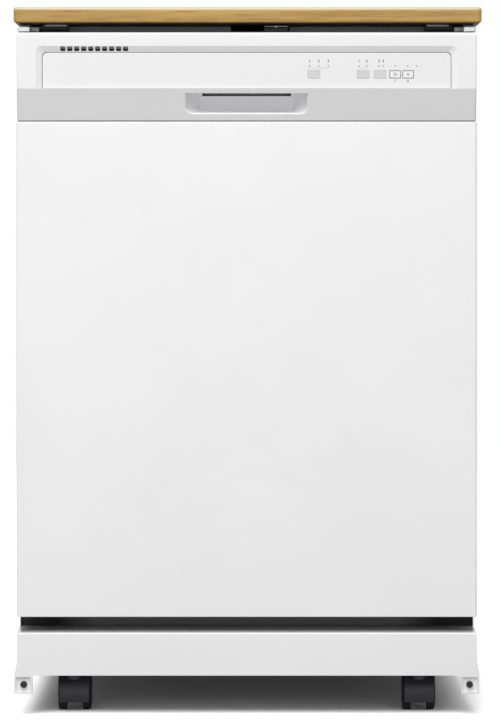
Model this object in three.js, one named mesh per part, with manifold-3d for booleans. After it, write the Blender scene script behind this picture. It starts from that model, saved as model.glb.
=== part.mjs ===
// A portable dishwasher on four casters, millimetres.
// X runs to the right, the door faces -Y, Z is up and the floor is Z = 0.
import * as THREE from 'three';
import { mergeVertices } from 'three/addons/utils/BufferGeometryUtils.js';
import Module from 'manifold-3d';

const wasm = await Module();
wasm.setup();

// ---------- driving dimensions ----------
const fit = 0.3;               // clearance between pieces that seat on each other
const sheet = 1.2;             // cabinet sheet steel
const totalHeight = 940;
const totalDepth = 680;
const doorWidth = 610;

const slabThick = 21;          // wood-grain worktop
const slabOverhang = 6;        // past the door at each side
const slabSetback = 15;        // behind the console face
const slabEdge = 4;            // rounding of the slab's edges
const gapUnderSlab = 12.2;     // open slit above the console

const consoleProud = 24;       // console face in front of the door panel
const consoleHeight = 116.3;
const consoleTopEdge = 4;
const bandDrop = 42.3;         // height of the sloped band at the console's foot
const moulding = 3;            // wall of the moulded pieces
const doorSeam = 1.5;          // slit between console and door panel
const panelBottom = 132.5;     // lower edge of the door panel
const doorThick = 44;
const linerBulge = 10;         // raised field of the door liner
const doorGap = 4;             // closed door to cabinet
const sealGap = 6;             // closed door to tub flange
const hingeInset = 31;         // hinge axis behind the door panel's face
const hingeRise = 17.5;        // hinge axis above the door panel's lower edge

const toeTop = 112;
const toeBottom = 55;
const earBottom = 31;
const earWidth = 24;
const flare = 3;               // the foot of the toe panel spreads by this much
const flareRise = 17;
const baseBottom = 72;         // underside of the base pan
const panSheet = 2;

const sideSpace = 33;          // door edge to the inside of the tub
const rearSpace = 80;          // tub inside to the outside of the rear panel
const rearSetback = 10;        // rear panel in front of the slab's back edge
const tubFloor = 175;
const tubHeadroom = 37;        // tub ceiling below the slab
const tubWall = 4;
const tubFlange = 8;
const lipHeight = 7;
const sumpRadius = 112;
const heaterTube = 4;
const armHeight = 10;          // thickness of the lower spray arm

const wheelRadius = 25;        // caster wheel, at its flats
const wheelWidth = 10.85;
const casterWidth = 43.5;
const casterTrail = 18;        // axle behind the swivel
const casterInset = 74;        // swivel in from the door's edge
const casterSetback = 78;      // swivel in from the front and the back
const casterAxle = 3;
const hoodFoot = 206;          // the hood comes round the wheels to this angle
const stemRadius = 5.5;

const wire = 4;                // rack wire, square
const rackAcross = 6;          // windows between the wires of a rack floor
const rackDeep = 5;
const rollerRadius = 20;
const rollerWidth = 18;
const lowerRise = 41;          // lower rack's floor above the tub floor
const lowerWall = 124;         // height of its walls
const lowerTine = 64;
const upperRise = 360;
const upperWall = 115;
const upperTine = 54;
const rackRunning = 0.5;       // bore of a rolling axle, on the radius

// ---------- derived planes ----------
const halfWidth = doorWidth / 2;
const frontY = -totalDepth / 2;
const backY = totalDepth / 2;
const slabBottom = totalHeight - slabThick;
const consoleTop = slabBottom - gapUnderSlab;
const consoleBottom = consoleTop - consoleHeight;
const panelTop = consoleBottom - doorSeam;
const doorFaceY = frontY + consoleProud;
const doorBackY = doorFaceY + doorThick;
const linerFaceY = doorBackY + linerBulge;
const cabinetFrontY = doorBackY + doorGap;
const tubFrontY = doorBackY + sealGap;
const rearY = backY - rearSetback;
const hingeY = doorFaceY + hingeInset;
const hingeZ = panelBottom + hingeRise;
const tubHalf = halfWidth - sideSpace;
const tubBackY = rearY - rearSpace;
const tubCeiling = slabBottom - tubHeadroom;
const washY = (tubFrontY + tubBackY) / 2;
const sideTop = slabBottom - fit;
const panTop = baseBottom + panSheet;
const washReach = (tubBackY - tubFrontY) / 2;
const casterX = halfWidth - casterInset;
const casterY = backY - casterSetback;
const skirtY = hingeY + 33;    // front edge of the side panels below the hinge

// ---------- finishes ----------
const finishes = {
  wood: { color: 0xc9a66b, roughness: 0.45, metalness: 0 },
  whiteEnamel: { color: 0xf0f1f2, roughness: 0.3, metalness: 0 },
  whitePlastic: { color: 0xf2f2f2, roughness: 0.45, metalness: 0 },
  greyPlastic: { color: 0xd2d4d6, roughness: 0.5, metalness: 0 },
  tubPlastic: { color: 0xc6c9cc, roughness: 0.5, metalness: 0 },
  blackPlastic: { color: 0x26272a, roughness: 0.5, metalness: 0 },
  blackPaint: { color: 0x3a3b3e, roughness: 0.5, metalness: 0.2 },
  rubber: { color: 0x3c3d40, roughness: 0.8, metalness: 0 },
  zinc: { color: 0xb9bcc0, roughness: 0.35, metalness: 0.9 },
  stainless: { color: 0xc8cacc, roughness: 0.28, metalness: 1 },
  coatedWire: { color: 0xdfe2e6, roughness: 0.5, metalness: 0 },
  castIron: { color: 0x55575a, roughness: 0.8, metalness: 0.6 },
  board: { color: 0x2f6b4a, roughness: 0.6, metalness: 0 },
};

// ---------- helpers ----------
const radians = THREE.MathUtils.degToRad;

// A closed three.js geometry as a solid.
function toSolid(geometry) {
  geometry.deleteAttribute('normal');
  geometry.deleteAttribute('uv');
  const merged = mergeVertices(geometry, 1e-3);
  const corners = merged.index.array;
  const triangles = [];
  for (let i = 0; i < corners.length; i += 3) {
    const [a, b, c] = [corners[i], corners[i + 1], corners[i + 2]];
    if (a !== b && b !== c && c !== a) triangles.push(a, b, c);
  }
  return new wasm.Manifold(new wasm.Mesh({
    numProp: 3,
    vertProperties: new Float32Array(merged.attributes.position.array),
    triVerts: new Uint32Array(triangles),
  }));
}

const join = (...solids) => solids.reduce((sum, next) => sum.add(next));
const cut = (body, ...tools) => tools.reduce((left, tool) => left.subtract(tool), body);

// A box between two x, two y and two z planes, given in any order.
function block(xa, xb, ya, yb, za, zb) {
  const box = new THREE.BoxGeometry(Math.abs(xb - xa), Math.abs(yb - ya), Math.abs(zb - za));
  return toSolid(box.translate((xa + xb) / 2, (ya + yb) / 2, (za + zb) / 2));
}

function outline(points) {
  return new THREE.Shape(points.map(([u, v]) => new THREE.Vector2(u, v)));
}

// A rounded rectangle as a shape.
function roundedRect(ua, ub, va, vb, radius) {
  const shape = new THREE.Shape();
  const [u0, u1] = [Math.min(ua, ub), Math.max(ua, ub)];
  shape.moveTo(u0 + radius, va);
  shape.lineTo(u1 - radius, va);
  shape.absarc(u1 - radius, va + radius, radius, -Math.PI / 2, 0, false);
  shape.absarc(u1 - radius, vb - radius, radius, 0, Math.PI / 2, false);
  shape.absarc(u0 + radius, vb - radius, radius, Math.PI / 2, Math.PI, false);
  shape.absarc(u0 + radius, va + radius, radius, Math.PI, Math.PI * 1.5, false);
  return shape;
}

// An extruded outline: its points are [y, z] along 'x', [x, z] along 'y' and [x, y] along 'z'.
function prism(axis, shape, from, to, curveSegments = 6) {
  const [low, high] = [Math.min(from, to), Math.max(from, to)];
  const flat = Array.isArray(shape) ? outline(shape) : shape;
  const solid = new THREE.ExtrudeGeometry(flat, {
    depth: high - low, bevelEnabled: false, curveSegments,
  });
  const [ex, ey, ez] = [[1, 0, 0], [0, 1, 0], [0, 0, 1]].map((v) => new THREE.Vector3(...v));
  const turn = new THREE.Matrix4();
  if (axis === 'x') turn.makeBasis(ey, ez, ex).setPosition(low, 0, 0);
  if (axis === 'y') turn.makeBasis(ex, ez, ey.negate()).setPosition(0, high, 0);
  if (axis === 'z') turn.setPosition(0, 0, low);
  return toSolid(solid.applyMatrix4(turn));
}

// A round bar; its facets lie flat towards -Z (or -Y for an upright bar).
function rod(axis, radius, from, to, u, v, sides = 16) {
  const length = Math.abs(to - from);
  const middle = (from + to) / 2;
  const bar = new THREE.CylinderGeometry(radius, radius, length, sides);
  bar.rotateY(Math.PI / sides);
  if (axis === 'x') bar.rotateZ(-Math.PI / 2).translate(middle, u, v);
  if (axis === 'y') bar.translate(u, middle, v);
  if (axis === 'z') bar.rotateX(Math.PI / 2).translate(u, v, middle);
  return toSolid(bar);
}

// A turned piece: [radius, height] points about 'z' at (u, v), or about 'y' at (x, z) = (u, v).
function turned(axis, points, u, v, sides = 24) {
  const profile = points.map(([r, h]) => new THREE.Vector2(r, h));
  const lathe = new THREE.LatheGeometry(profile, sides);
  if (axis === 'z') lathe.rotateX(Math.PI / 2).translate(u, v, 0);
  if (axis === 'y') lathe.translate(u, 0, v);
  return toSolid(lathe);
}

// A convex solid from a near loop to a far one behind it: as many points in each, and both
// anticlockwise as seen from in front.
function loft(near, far) {
  const count = near.length;
  const index = [];
  for (let i = 0; i < count; i++) {
    const next = (i + 1) % count;
    index.push(i, count + next, next, i, count + i, count + next);
    if (i > 0 && next > 0) index.push(0, i, next, count, count + next, count + i);
  }
  const geometry = new THREE.BufferGeometry();
  geometry.setAttribute('position', new THREE.Float32BufferAttribute([...near, ...far].flat(), 3));
  geometry.setIndex(index);
  return toSolid(geometry);
}

// A flat grid of wires: a plate with rectangular windows between its bars.
function lattice(axis, u0, u1, v0, v1, across, up, from, to) {
  const plate = prism(axis, [[u0, v0], [u1, v0], [u1, v1], [u0, v1]], from, to);
  const pitchU = (u1 - u0 - wire) / across;
  const pitchV = (v1 - v0 - wire) / up;
  const [low, high] = [Math.min(from, to) - 1, Math.max(from, to) + 1];
  const windows = [];
  for (let i = 0; i < across; i++) {
    for (let j = 0; j < up; j++) {
      const [u, v] = [u0 + wire + i * pitchU, v0 + wire + j * pitchV];
      const [ue, ve] = [u + pitchU - wire, v + pitchV - wire];
      windows.push(prism(axis, [[u, v], [ue, v], [ue, ve], [u, ve]], low, high));
    }
  }
  return cut(plate, ...windows);
}

function piece(group, name, solid, finish) {
  const { vertProperties, triVerts, numProp } = solid.getMesh();
  const geometry = new THREE.BufferGeometry();
  const points = new Float32Array((vertProperties.length / numProp) * 3);
  for (let i = 0; i < points.length / 3; i++) {
    for (let k = 0; k < 3; k++) points[3 * i + k] = vertProperties[numProp * i + k];
  }
  geometry.setAttribute('position', new THREE.BufferAttribute(points, 3));
  geometry.setIndex(new THREE.BufferAttribute(new Uint32Array(triVerts), 1));
  const mesh = new THREE.Mesh(geometry, new THREE.MeshStandardMaterial(finishes[finish]));
  mesh.name = name;
  group.add(mesh);
}

const sides = [['left', -1], ['right', 1]];
const dishwasher = new THREE.Group();

// ---------- worktop and the rail under it ----------
function addWorktop(group) {
  const inset = slabEdge;
  const half = halfWidth + slabOverhang - inset;
  const shape = roundedRect(-half, half, frontY + slabSetback + inset, backY - inset, 1);
  const slab = new THREE.ExtrudeGeometry(shape, {
    depth: slabThick - 2 * slabEdge, bevelThickness: slabEdge, bevelSize: slabEdge,
    bevelSegments: 3, curveSegments: 2,
  });
  slab.translate(0, 0, slabBottom + slabEdge);
  piece(group, 'countertop', toSolid(slab), 'wood');
}

const railRise = 5.7;           // top rail above the console
const railDepth = 36;
const railSheet = 2;
const railTop = consoleTop + railRise;
const flangeTop = tubCeiling + 13;
const flangeWidth = 15;
const flangeInner = halfWidth - sheet - flangeWidth;
const railFrontY = tubFrontY + 4;
const clipInner = halfWidth - 68;
const clipOuter = halfWidth - 28;
const clipTaper = 5;
const strikeLeft = 23;
const strikeRight = 55;
const strikeSheet = 1.5;

function addTopRail(group) {
  const bottom = flangeTop + fit;
  const railBackY = railFrontY + railDepth;
  const channel = [
    [railFrontY, bottom], [railFrontY, railTop], [railBackY, railTop],
    [railBackY, railTop - railSheet], [railFrontY + railSheet, railTop - railSheet],
    [railFrontY + railSheet, bottom],
  ];
  const clipFoot = railTop - 1;
  const clipShape = [
    [clipInner, clipFoot], [clipOuter, clipFoot],
    [clipOuter - clipTaper, sideTop], [clipInner + clipTaper, sideTop],
  ];
  const clips = sides.map(([, side]) => prism(
    'y', clipShape.map(([x, z]) => [side * x, z]), railFrontY - 24, railFrontY + 12,
  ));
  const rail = prism('x', channel, -flangeInner + fit, flangeInner - fit);
  piece(group, 'top_front_rail', join(rail, ...clips), 'blackPaint');

  const plateZ = railTop + 2.5;
  const plateTop = plateZ + strikeSheet;
  const [hookY, hookTip] = [railFrontY - 34, consoleTop + 1.2];
  const [footBackY, footFrontY] = [railBackY - 4, railBackY - 18];
  const strike = [
    [footBackY, railTop + fit], [footBackY, plateTop], [hookY, plateTop], [hookY, hookTip],
    [hookY + strikeSheet, hookTip], [hookY + strikeSheet, plateZ], [footFrontY, plateZ],
    [footFrontY, railTop + fit],
  ];
  piece(group, 'door_strike', prism('x', strike, strikeLeft, strikeRight), 'zinc');
}

// ---------- cabinet ----------
const hingeClearTop = hingeZ + 32;   // the door's foot swings inside the cabinet below this
const hemRise = toeBottom + 1;       // lower edge of the side and rear panels
const boxHalf = 150;                 // storage box for the hose and cord
const boxLow = 570;
const boxHigh = 770;
const boxDepth = 58;
const boxWall = 2;
const boxRim = 12;

function addCabinet(group) {
  const boxFloorY = rearY - boxDepth;
  const topFlangeHalf = flangeInner - 5;
  for (const [name, side] of sides) {
    const inner = side * (halfWidth - sheet);
    const profile = [
      [skirtY, hemRise], [skirtY, hingeClearTop], [cabinetFrontY, hingeClearTop],
      [cabinetFrontY, sideTop], [rearY, sideTop], [rearY, hemRise],
    ];
    const skin = prism('x', profile, inner, side * halfWidth);
    const front = block(
      side * flangeInner, inner, cabinetFrontY, cabinetFrontY + sheet, hingeClearTop, sideTop,
    );
    const top = block(
      inner, side * topFlangeHalf, cabinetFrontY, rearY - 5, sideTop - sheet, sideTop,
    );
    piece(group, `side_panel_${name}`, join(skin, front, top), 'whiteEnamel');
  }
  const rearHalf = halfWidth - sheet - fit;
  const rearSkin = block(-rearHalf, rearHalf, rearY - sheet, rearY, hemRise, sideTop);
  const rearFlangeHalf = topFlangeHalf - fit;
  const rearFlange = block(
    -rearFlangeHalf, rearFlangeHalf, rearY - 20, rearY, sideTop - sheet, sideTop,
  );
  const window = block(
    -boxHalf - fit, boxHalf + fit, rearY - 30, rearY + 5, boxLow - fit, boxHigh + fit,
  );
  piece(group, 'rear_panel', cut(join(rearSkin, rearFlange), window), 'whiteEnamel');

  const shell = join(
    block(-boxHalf, boxHalf, boxFloorY, rearY + boxWall, boxLow, boxHigh),
    block(
      -boxHalf - boxRim, boxHalf + boxRim, rearY + fit, rearY + boxWall,
      boxLow - boxRim, boxHigh + boxRim,
    ),
  );
  const hollow = block(
    boxWall - boxHalf, boxHalf - boxWall, boxFloorY + boxWall, rearY + 9,
    boxLow + boxWall, boxHigh - boxWall,
  );
  const glandZ = boxLow + 45;
  const glands = [['hose_gland', -60, 14], ['cord_gland', 60, 9]];
  const holes = glands.map(([, x, r]) => rod('y', r, boxFloorY - 5, boxFloorY + 5, x, glandZ));
  piece(group, 'hose_storage_box', cut(shell, hollow, ...holes), 'greyPlastic');
  for (const [name, x, r] of glands) {
    const [bore, neck, brim] = [r - 4, r - 2 * fit, r + 5];
    const seat = boxFloorY + boxWall + fit;
    const ring = [
      [bore, boxFloorY - 8], [neck, boxFloorY - 8], [neck, seat], [brim, seat],
      [brim, seat + 4], [bore, seat + 4], [bore, boxFloorY - 8],
    ];
    piece(group, name, turned('y', ring, x, glandZ, 16), 'rubber');
  }
}

// ---------- base pan, toe panel and its screws ----------
const toeSheet = 1.5;
const postInner = tubHalf - 16;     // posts that carry the tub
const postWidth = 14;
const postDepth = 30;
const bossTop = baseBottom + 24;
const screwX = halfWidth + flare - earWidth / 2 - 0.6;
const screwZ = earBottom + earWidth / 2;
const screwHole = 2.6;
const earThick = 5;
const earRim = 3;
const earFloorY = doorFaceY + 2.5;
const shelfBackY = hingeY + 41.7;
const crossBottom = toeTop + 2;     // the beam that carries the door's hinges
const crossFrontY = shelfBackY + fit;
const crossDepth = 38;
const crossBackY = crossFrontY + crossDepth;
const crossFootInner = casterX - 36;
const crossFootWidth = 20;
const springX = halfWidth - 15;
const springZ = hingeZ - 22;
const springLength = 305;
const springBackY = crossBackY + springLength;
const springLugHalf = 6;
const weightFrontY = tubBackY + 14;
const weightHalf = 180;
const weightDepth = 58;

function addBase(group) {
  const rimHalf = halfWidth - sheet - fit;
  const rimFrontY = doorFaceY + toeSheet + fit;
  const rimBackY = rearY - sheet - fit;
  const rimTop = toeTop - toeSheet - fit;
  const tray = cut(
    block(-rimHalf, rimHalf, rimFrontY, rimBackY, baseBottom, rimTop),
    block(
      panSheet - rimHalf, rimHalf - panSheet, rimFrontY + panSheet, rimBackY - panSheet,
      panTop, rimTop + 1,
    ),
  );
  const fixings = [];
  const bores = [];
  for (const [, side] of sides) {
    for (const y of [-casterY, casterY]) {
      fixings.push(rod('z', stemRadius + 4.5, panTop - 1, bossTop, side * casterX, y));
      bores.push(rod('z', stemRadius + fit, baseBottom - 5, bossTop - 2, side * casterX, y));
    }
    for (const y of [crossBackY + 15, tubBackY - 2 * postDepth]) {
      fixings.push(block(
        side * postInner, side * (postInner + postWidth), y, y + postDepth,
        panTop - 1, tubFloor - tubWall - fit,
      ));
    }
    fixings.push(block(
      side * crossFootInner, side * (crossFootInner + crossFootWidth),
      crossFrontY + 3, crossBackY - 5, panTop - 1, crossBottom - fit,
    ));
    fixings.push(block(
      side * (springX - springLugHalf), side * (springX + springLugHalf),
      springBackY, springBackY + springLugHalf, panTop - 1, springZ + 8,
    ));
    const bracketY = doorFaceY + earThick + fit;
    fixings.push(block(
      side * (screwX - 9), side * (rimHalf - 1), bracketY, bracketY + 3,
      earBottom + earRim, baseBottom + 1,
    ));
    bores.push(rod('y', screwHole, bracketY - 5, bracketY + 10, side * screwX, screwZ, 12));
  }
  piece(group, 'base_frame', cut(join(tray, ...fixings), ...bores), 'blackPaint');
}

function addToePanel(group) {
  const gauge = toeSheet;
  const foot = halfWidth + flare;
  const faceEdge = [
    [halfWidth, toeTop], [halfWidth, toeBottom + flareRise], [foot, toeBottom],
    [foot, earBottom], [foot - earWidth, earBottom], [foot - earWidth, toeBottom],
  ];
  const mirrored = faceEdge.map(([x, z]) => [-x, z]).reverse();
  const face = prism('y', [...faceEdge, ...mirrored], doorFaceY, doorFaceY + gauge);
  const shelfHalf = halfWidth - sheet - fit;
  const shelf = block(-shelfHalf, shelfHalf, doorFaceY, shelfBackY, toeTop - gauge, toeTop);
  const hem = block(
    1 - foot, foot - 1, doorFaceY, doorFaceY + earThick, toeBottom, toeBottom + gauge,
  );
  const parts = [face, shelf, hem];
  const holes = [];
  for (const [, side] of sides) {
    const strip = [
      [halfWidth, toeTop], [halfWidth, toeBottom + flareRise], [foot, toeBottom],
      [foot - gauge, toeBottom], [halfWidth - sheet, toeBottom + flareRise],
      [halfWidth - sheet, toeTop],
    ];
    const returnY = skirtY - fit;
    parts.push(prism('y', strip.map(([x, z]) => [side * x, z]), doorFaceY, returnY));
    parts.push(block(
      side * (foot - earWidth), side * foot, doorFaceY, doorFaceY + earThick,
      earBottom, toeBottom + 1,
    ));
    holes.push(block(
      side * (foot - earWidth + earRim), side * (foot - earRim), doorFaceY - 5, earFloorY,
      earBottom + earRim, toeBottom - earRim,
    ));
    holes.push(rod('y', screwHole, doorFaceY - 5, doorFaceY + 10, side * screwX, screwZ, 12));
  }
  piece(group, 'toe_panel', cut(join(...parts), ...holes), 'whiteEnamel');
  for (const [name, side] of sides) {
    const [headY, tipY] = [earFloorY - fit, doorFaceY + earThick + 8];
    const [crown, head, shank] = [3.4, 4.5, 2];
    const screw = [
      [0, headY - 2.6], [crown, headY - 2.6], [head, headY - 1.4], [head, headY],
      [shank, headY], [shank, tipY], [0, tipY],
    ];
    piece(group, `toe_screw_${name}`, turned('y', screw, side * screwX, screwZ, 16), 'blackPlastic');
  }
}

// ---------- tub and what is fixed in it ----------
const ledgeTop = tubFloor + 13;     // the lower rack's rollers run on these
const ledgeInner = tubHalf - 17;
const upperFloor = tubFloor + upperRise;
const railLow = upperFloor + 40;
const railHeight = 20;
const railInner = tubHalf - 10;
const railGuideHalf = 110;
const railGuideHeight = 7;
const sumpOpening = sumpRadius - 7;
const floatX = 82 - tubHalf;
const floatY = tubFrontY + 36;
const floatStem = 4;
const floorRunTop = tubFloor + 5.7;

function addTub(group) {
  const shell = cut(
    join(
      block(
        -tubHalf - tubWall, tubHalf + tubWall, tubFrontY, tubBackY + tubWall,
        tubFloor - tubWall, tubCeiling + tubWall,
      ),
      block(
        fit - flangeInner, flangeInner - fit, tubFrontY, tubFrontY + tubFlange,
        hingeZ + 16, flangeTop,
      ),
    ),
    block(-tubHalf, tubHalf, tubFrontY - 5, tubBackY, tubFloor, tubCeiling),
  );
  const extras = [block(
    -tubHalf - 1, tubHalf + 1, tubFrontY, tubFrontY + tubFlange, tubFloor - 1,
    tubFloor + lipHeight,
  )];
  for (const [, side] of sides) {
    const wallX = side * (tubHalf + 1);
    extras.push(block(side * ledgeInner, wallX, tubFrontY + tubFlange, tubBackY - 10,
      tubFloor - 1, ledgeTop));
    for (const z of [railLow - fit - railGuideHeight, railLow + railHeight + fit]) {
      extras.push(block(
        side * (railInner + 3), wallX, -railGuideHalf, railGuideHalf, z, z + railGuideHeight,
      ));
    }
  }
  extras.push(rod('z', floatStem + 4, tubFloor - 1, tubFloor + 8, floatX, floatY));
  const drains = [
    rod('z', sumpOpening, tubFloor - 9, tubFloor + 9, 0, washY, 32),
    rod('z', floatStem + 0.6, tubFloor - 9, tubFloor + 20, floatX, floatY),
  ];
  piece(group, 'tub', cut(join(shell, ...extras), ...drains), 'tubPlastic');

  const sealOuter = tubHalf + 10;
  const sealTop = tubCeiling + 10;
  const sealFoot = hingeZ + 20;
  const band = 8;
  const seal = [
    [-sealOuter, sealFoot], [-sealOuter, sealTop], [sealOuter, sealTop], [sealOuter, sealFoot],
    [sealOuter - band, sealFoot], [sealOuter - band, sealTop - band],
    [band - sealOuter, sealTop - band], [band - sealOuter, sealFoot],
  ];
  piece(group, 'door_seal', prism('y', seal, doorBackY + fit, tubFrontY - fit), 'rubber');
}

const armLow = tubFloor + 18.5;
const armTop = armLow + armHeight;
const postRadius = 11;
const cupX = 48;
const cupY = washY + 36;
const cupRadius = 29;
const heaterRadius = washReach - 58;

// A spray arm from above: a round hub and two blades that taper towards round tips.
function armOutline(reach, root, tip) {
  const blade = new THREE.Shape();
  blade.absarc(0, 0, root, radians(60), radians(120), false);
  blade.absarc(tip - reach, 0, tip, radians(95), radians(265), false);
  blade.absarc(0, 0, root, radians(240), radians(300), false);
  blade.absarc(reach - tip, 0, tip, radians(275), radians(445), false);
  return blade;
}

function addWashParts(group) {
  const underFloor = tubFloor - tubWall - fit;
  const bowl = [
    [0, underFloor - 64], [60, underFloor - 64], [sumpRadius, underFloor - 22],
    [sumpRadius, underFloor], [sumpRadius - 8, underFloor], [sumpRadius - 8, underFloor - 20],
    [57, underFloor - 60], [postRadius, underFloor - 60], [postRadius, armTop + 4],
    [0, armTop + 4],
  ];
  piece(group, 'sump', turned('z', bowl, 0, washY, 24), 'blackPlastic');

  const plateLow = tubFloor + fit;
  const plateTop = plateLow + 2.5;
  const plate = cut(
    rod('z', sumpRadius, plateLow, plateTop, 0, washY, 32),
    rod('z', postRadius + 2, plateLow - 5, plateTop + 5, 0, washY, 24),
    rod('z', cupRadius + 0.8, plateLow - 5, plateTop + 5, cupX, cupY, 24),
  );
  piece(group, 'filter_plate', plate, 'greyPlastic');

  const rimLow = plateTop + fit;
  const cup = join(
    turned('z', [
      [0, rimLow - 26], [cupRadius - 3, rimLow - 26], [cupRadius, rimLow - 22],
      [cupRadius, rimLow], [cupRadius + 4, rimLow], [cupRadius + 4, rimLow + 3], [0, rimLow + 3],
    ], cupX, cupY),
    block(cupX - 22, cupX + 22, cupY - 3, cupY + 3, rimLow + 2, rimLow + 9),
  );
  piece(group, 'filter_cup', cup, 'greyPlastic');

  const domeLow = tubFloor + 3;
  const domeTop = domeLow + 20;
  const dome = [
    [0, tubFloor - 14], [floatStem, tubFloor - 14], [floatStem, domeTop - 3], [17, domeTop - 3],
    [17, domeLow], [20, domeLow], [20, domeTop - 4], [16, domeTop], [0, domeTop],
  ];
  piece(group, 'float_dome', turned('z', dome, floatX, floatY, 20), 'greyPlastic');

  const ring = new THREE.TorusGeometry(heaterRadius, heaterTube, 6, 36);
  const ringZ = floorRunTop + fit + heaterTube;
  const feet = [60, 180, 300].map((angle) => rod(
    'z', 5, tubFloor + fit, ringZ,
    heaterRadius * Math.cos(radians(angle)), washY + heaterRadius * Math.sin(radians(angle)), 10,
  ));
  const element = join(toSolid(ring.translate(0, washY, ringZ)), ...feet);
  piece(group, 'heating_element', element, 'stainless');

  const root = 26;
  const arm = cut(
    join(
      prism('z', armOutline(washReach - 28, root, 15), armLow, armTop, 5),
      rod('z', root - 4, armLow - 3, armTop + 2, 0, 0, 20),
    ),
    rod('z', postRadius + 0.6, armLow - 9, armTop + 9, 0, 0, 20),
  );
  const lower = new THREE.Group();
  lower.position.set(0, washY, 0);
  group.add(lower);
  piece(lower, 'lower_spray_arm', arm, 'greyPlastic');

  const start = sumpRadius + fit;
  const [motorLength, motorRadius, pumpLength, pumpRadius] = [120, 36, 78, 26];
  const [motorZ, pumpZ] = [underFloor - motorRadius - 7, underFloor - pumpRadius - 5];
  const motor = join(
    rod('x', motorRadius, start, start + motorLength, washY, motorZ, 20),
    rod('x', 22, start + motorLength - 2, start + motorLength + 10, washY, motorZ, 20),
  );
  piece(group, 'wash_motor', motor, 'blackPlastic');
  const pump = join(
    rod('x', pumpRadius, -start, -start - pumpLength, washY, pumpZ, 20),
    rod('x', 14, 2 - start - pumpLength, -start - pumpLength - 14, washY, pumpZ, 16),
  );
  piece(group, 'drain_pump', pump, 'blackPlastic');
}

// ---------- door counterbalance, hinge beam and rear weight ----------
const earInner = halfWidth - 21;
const earOuter = earInner + 4;
const pinRadius = 3.9;
const hingeBoss = 12;

function addUnderTub(group) {
  const crossTop = hingeZ + 10;
  const gauge = 2;
  const beam = [
    [crossFrontY, crossBottom], [crossFrontY, crossTop], [crossBackY, crossTop],
    [crossBackY, crossTop - gauge], [crossFrontY + gauge, crossTop - gauge],
    [crossFrontY + gauge, crossBottom + gauge], [crossBackY, crossBottom + gauge],
    [crossBackY, crossBottom],
  ];
  const parts = [prism('x', beam, -earInner - 1, earInner + 1)];
  const holes = [];
  for (const [, side] of sides) {
    const [xa, xb] = [side * earInner, side * earOuter];
    parts.push(rod('x', hingeBoss, xa, xb, hingeY, hingeZ, 20));
    parts.push(block(xa, xb, hingeY, crossBackY, hingeZ - 10, crossTop));
    parts.push(block(
      side * (earInner - 1), side * (springX + 4), crossBackY - 4, crossBackY,
      springZ - 6, hingeZ,
    ));
    holes.push(rod('x', pinRadius + 0.4, side * (earInner - 3), side * (earOuter + 3),
      hingeY, hingeZ));
  }
  piece(group, 'hinge_crossmember', cut(join(...parts), ...holes), 'blackPaint');

  for (const [name, side] of sides) {
    const [start, end] = [crossBackY + fit, springBackY - fit];
    const [stem, turn, neck] = [2, 8, 20];
    const coil = [
      [0, start], [stem, start], [stem, start + neck], [turn, start + neck + 4],
      [turn, end - neck - 4], [stem, end - neck], [stem, end], [0, end],
    ];
    piece(group, `door_spring_${name}`, turned('y', coil, side * springX, springZ, 12), 'zinc');
  }
  const weight = block(
    -weightHalf, weightHalf, weightFrontY, weightFrontY + weightDepth, panTop + fit, panTop + 76,
  );
  piece(group, 'counterweight', weight, 'castIron');
}

// ---------- racks ----------
const lowerFrontY = linerFaceY + 34;
const lowerBackY = tubBackY - 35;
const lowerHalf = tubHalf - 27;
const lowerFloor = tubFloor + lowerRise;
const lowerTop = lowerFloor + lowerWall;
const rollerZ = ledgeTop + fit + rollerRadius;
const rollerRows = [['front', lowerFrontY + 53], ['rear', lowerBackY - 35]];
const axleRadius = 2.5;
const tinePitch = 65;

function addLowerRack(group) {
  const floorTop = lowerFloor + wire;
  const parts = [
    lattice('z', -lowerHalf, lowerHalf, lowerFrontY, lowerBackY, rackAcross, rackDeep,
      lowerFloor, floorTop),
  ];
  for (const y of [lowerFrontY, lowerBackY - wire]) {
    parts.push(lattice(
      'y', -lowerHalf, lowerHalf, lowerFloor, lowerTop, rackAcross, 2, y, y + wire,
    ));
  }
  for (const [, side] of sides) {
    const wallX = side * lowerHalf;
    parts.push(lattice(
      'x', lowerFrontY, lowerBackY, lowerFloor, lowerTop, rackDeep, 2, wallX, wallX - side * wire,
    ));
    for (const [, y] of rollerRows) {
      parts.push(block(wallX, wallX - side * wire, y - 8, y + 8, rollerZ - 8, floorTop));
    }
  }
  const pitch = (2 * lowerHalf - wire) / rackAcross;
  for (const column of [1, 2, 4, 5]) {
    const x = column * pitch - lowerHalf;
    for (let row = 0; row < 5; row++) {
      const y = lowerFrontY + 108 + row * tinePitch;
      parts.push(block(x, x + wire, y, y + wire, lowerFloor + 1, lowerFloor + lowerTine));
    }
  }
  const bores = rollerRows.map(([, y]) => rod(
    'x', axleRadius + rackRunning, -tubHalf, tubHalf, y, rollerZ, 12,
  ));
  piece(group, 'lower_rack', cut(join(...parts), ...bores), 'coatedWire');

  const inner = lowerHalf + 5;
  for (const [name, y] of rollerRows) {
    const corner = rollerRadius / Math.cos(Math.PI / 20);
    const wheels = sides.map(([, side]) => rod(
      'x', corner, side * inner, side * (inner + rollerWidth), y, rollerZ, 20,
    ));
    const axle = rod('x', axleRadius, -inner - 1, inner + 1, y, rollerZ, 10);
    piece(group, `lower_wheels_${name}`, join(axle, ...wheels), 'greyPlastic');
  }
}

const basketHalf = 115;
const basketDepth = 62;
const basketHeight = 106;
const basketCells = 4;

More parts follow.
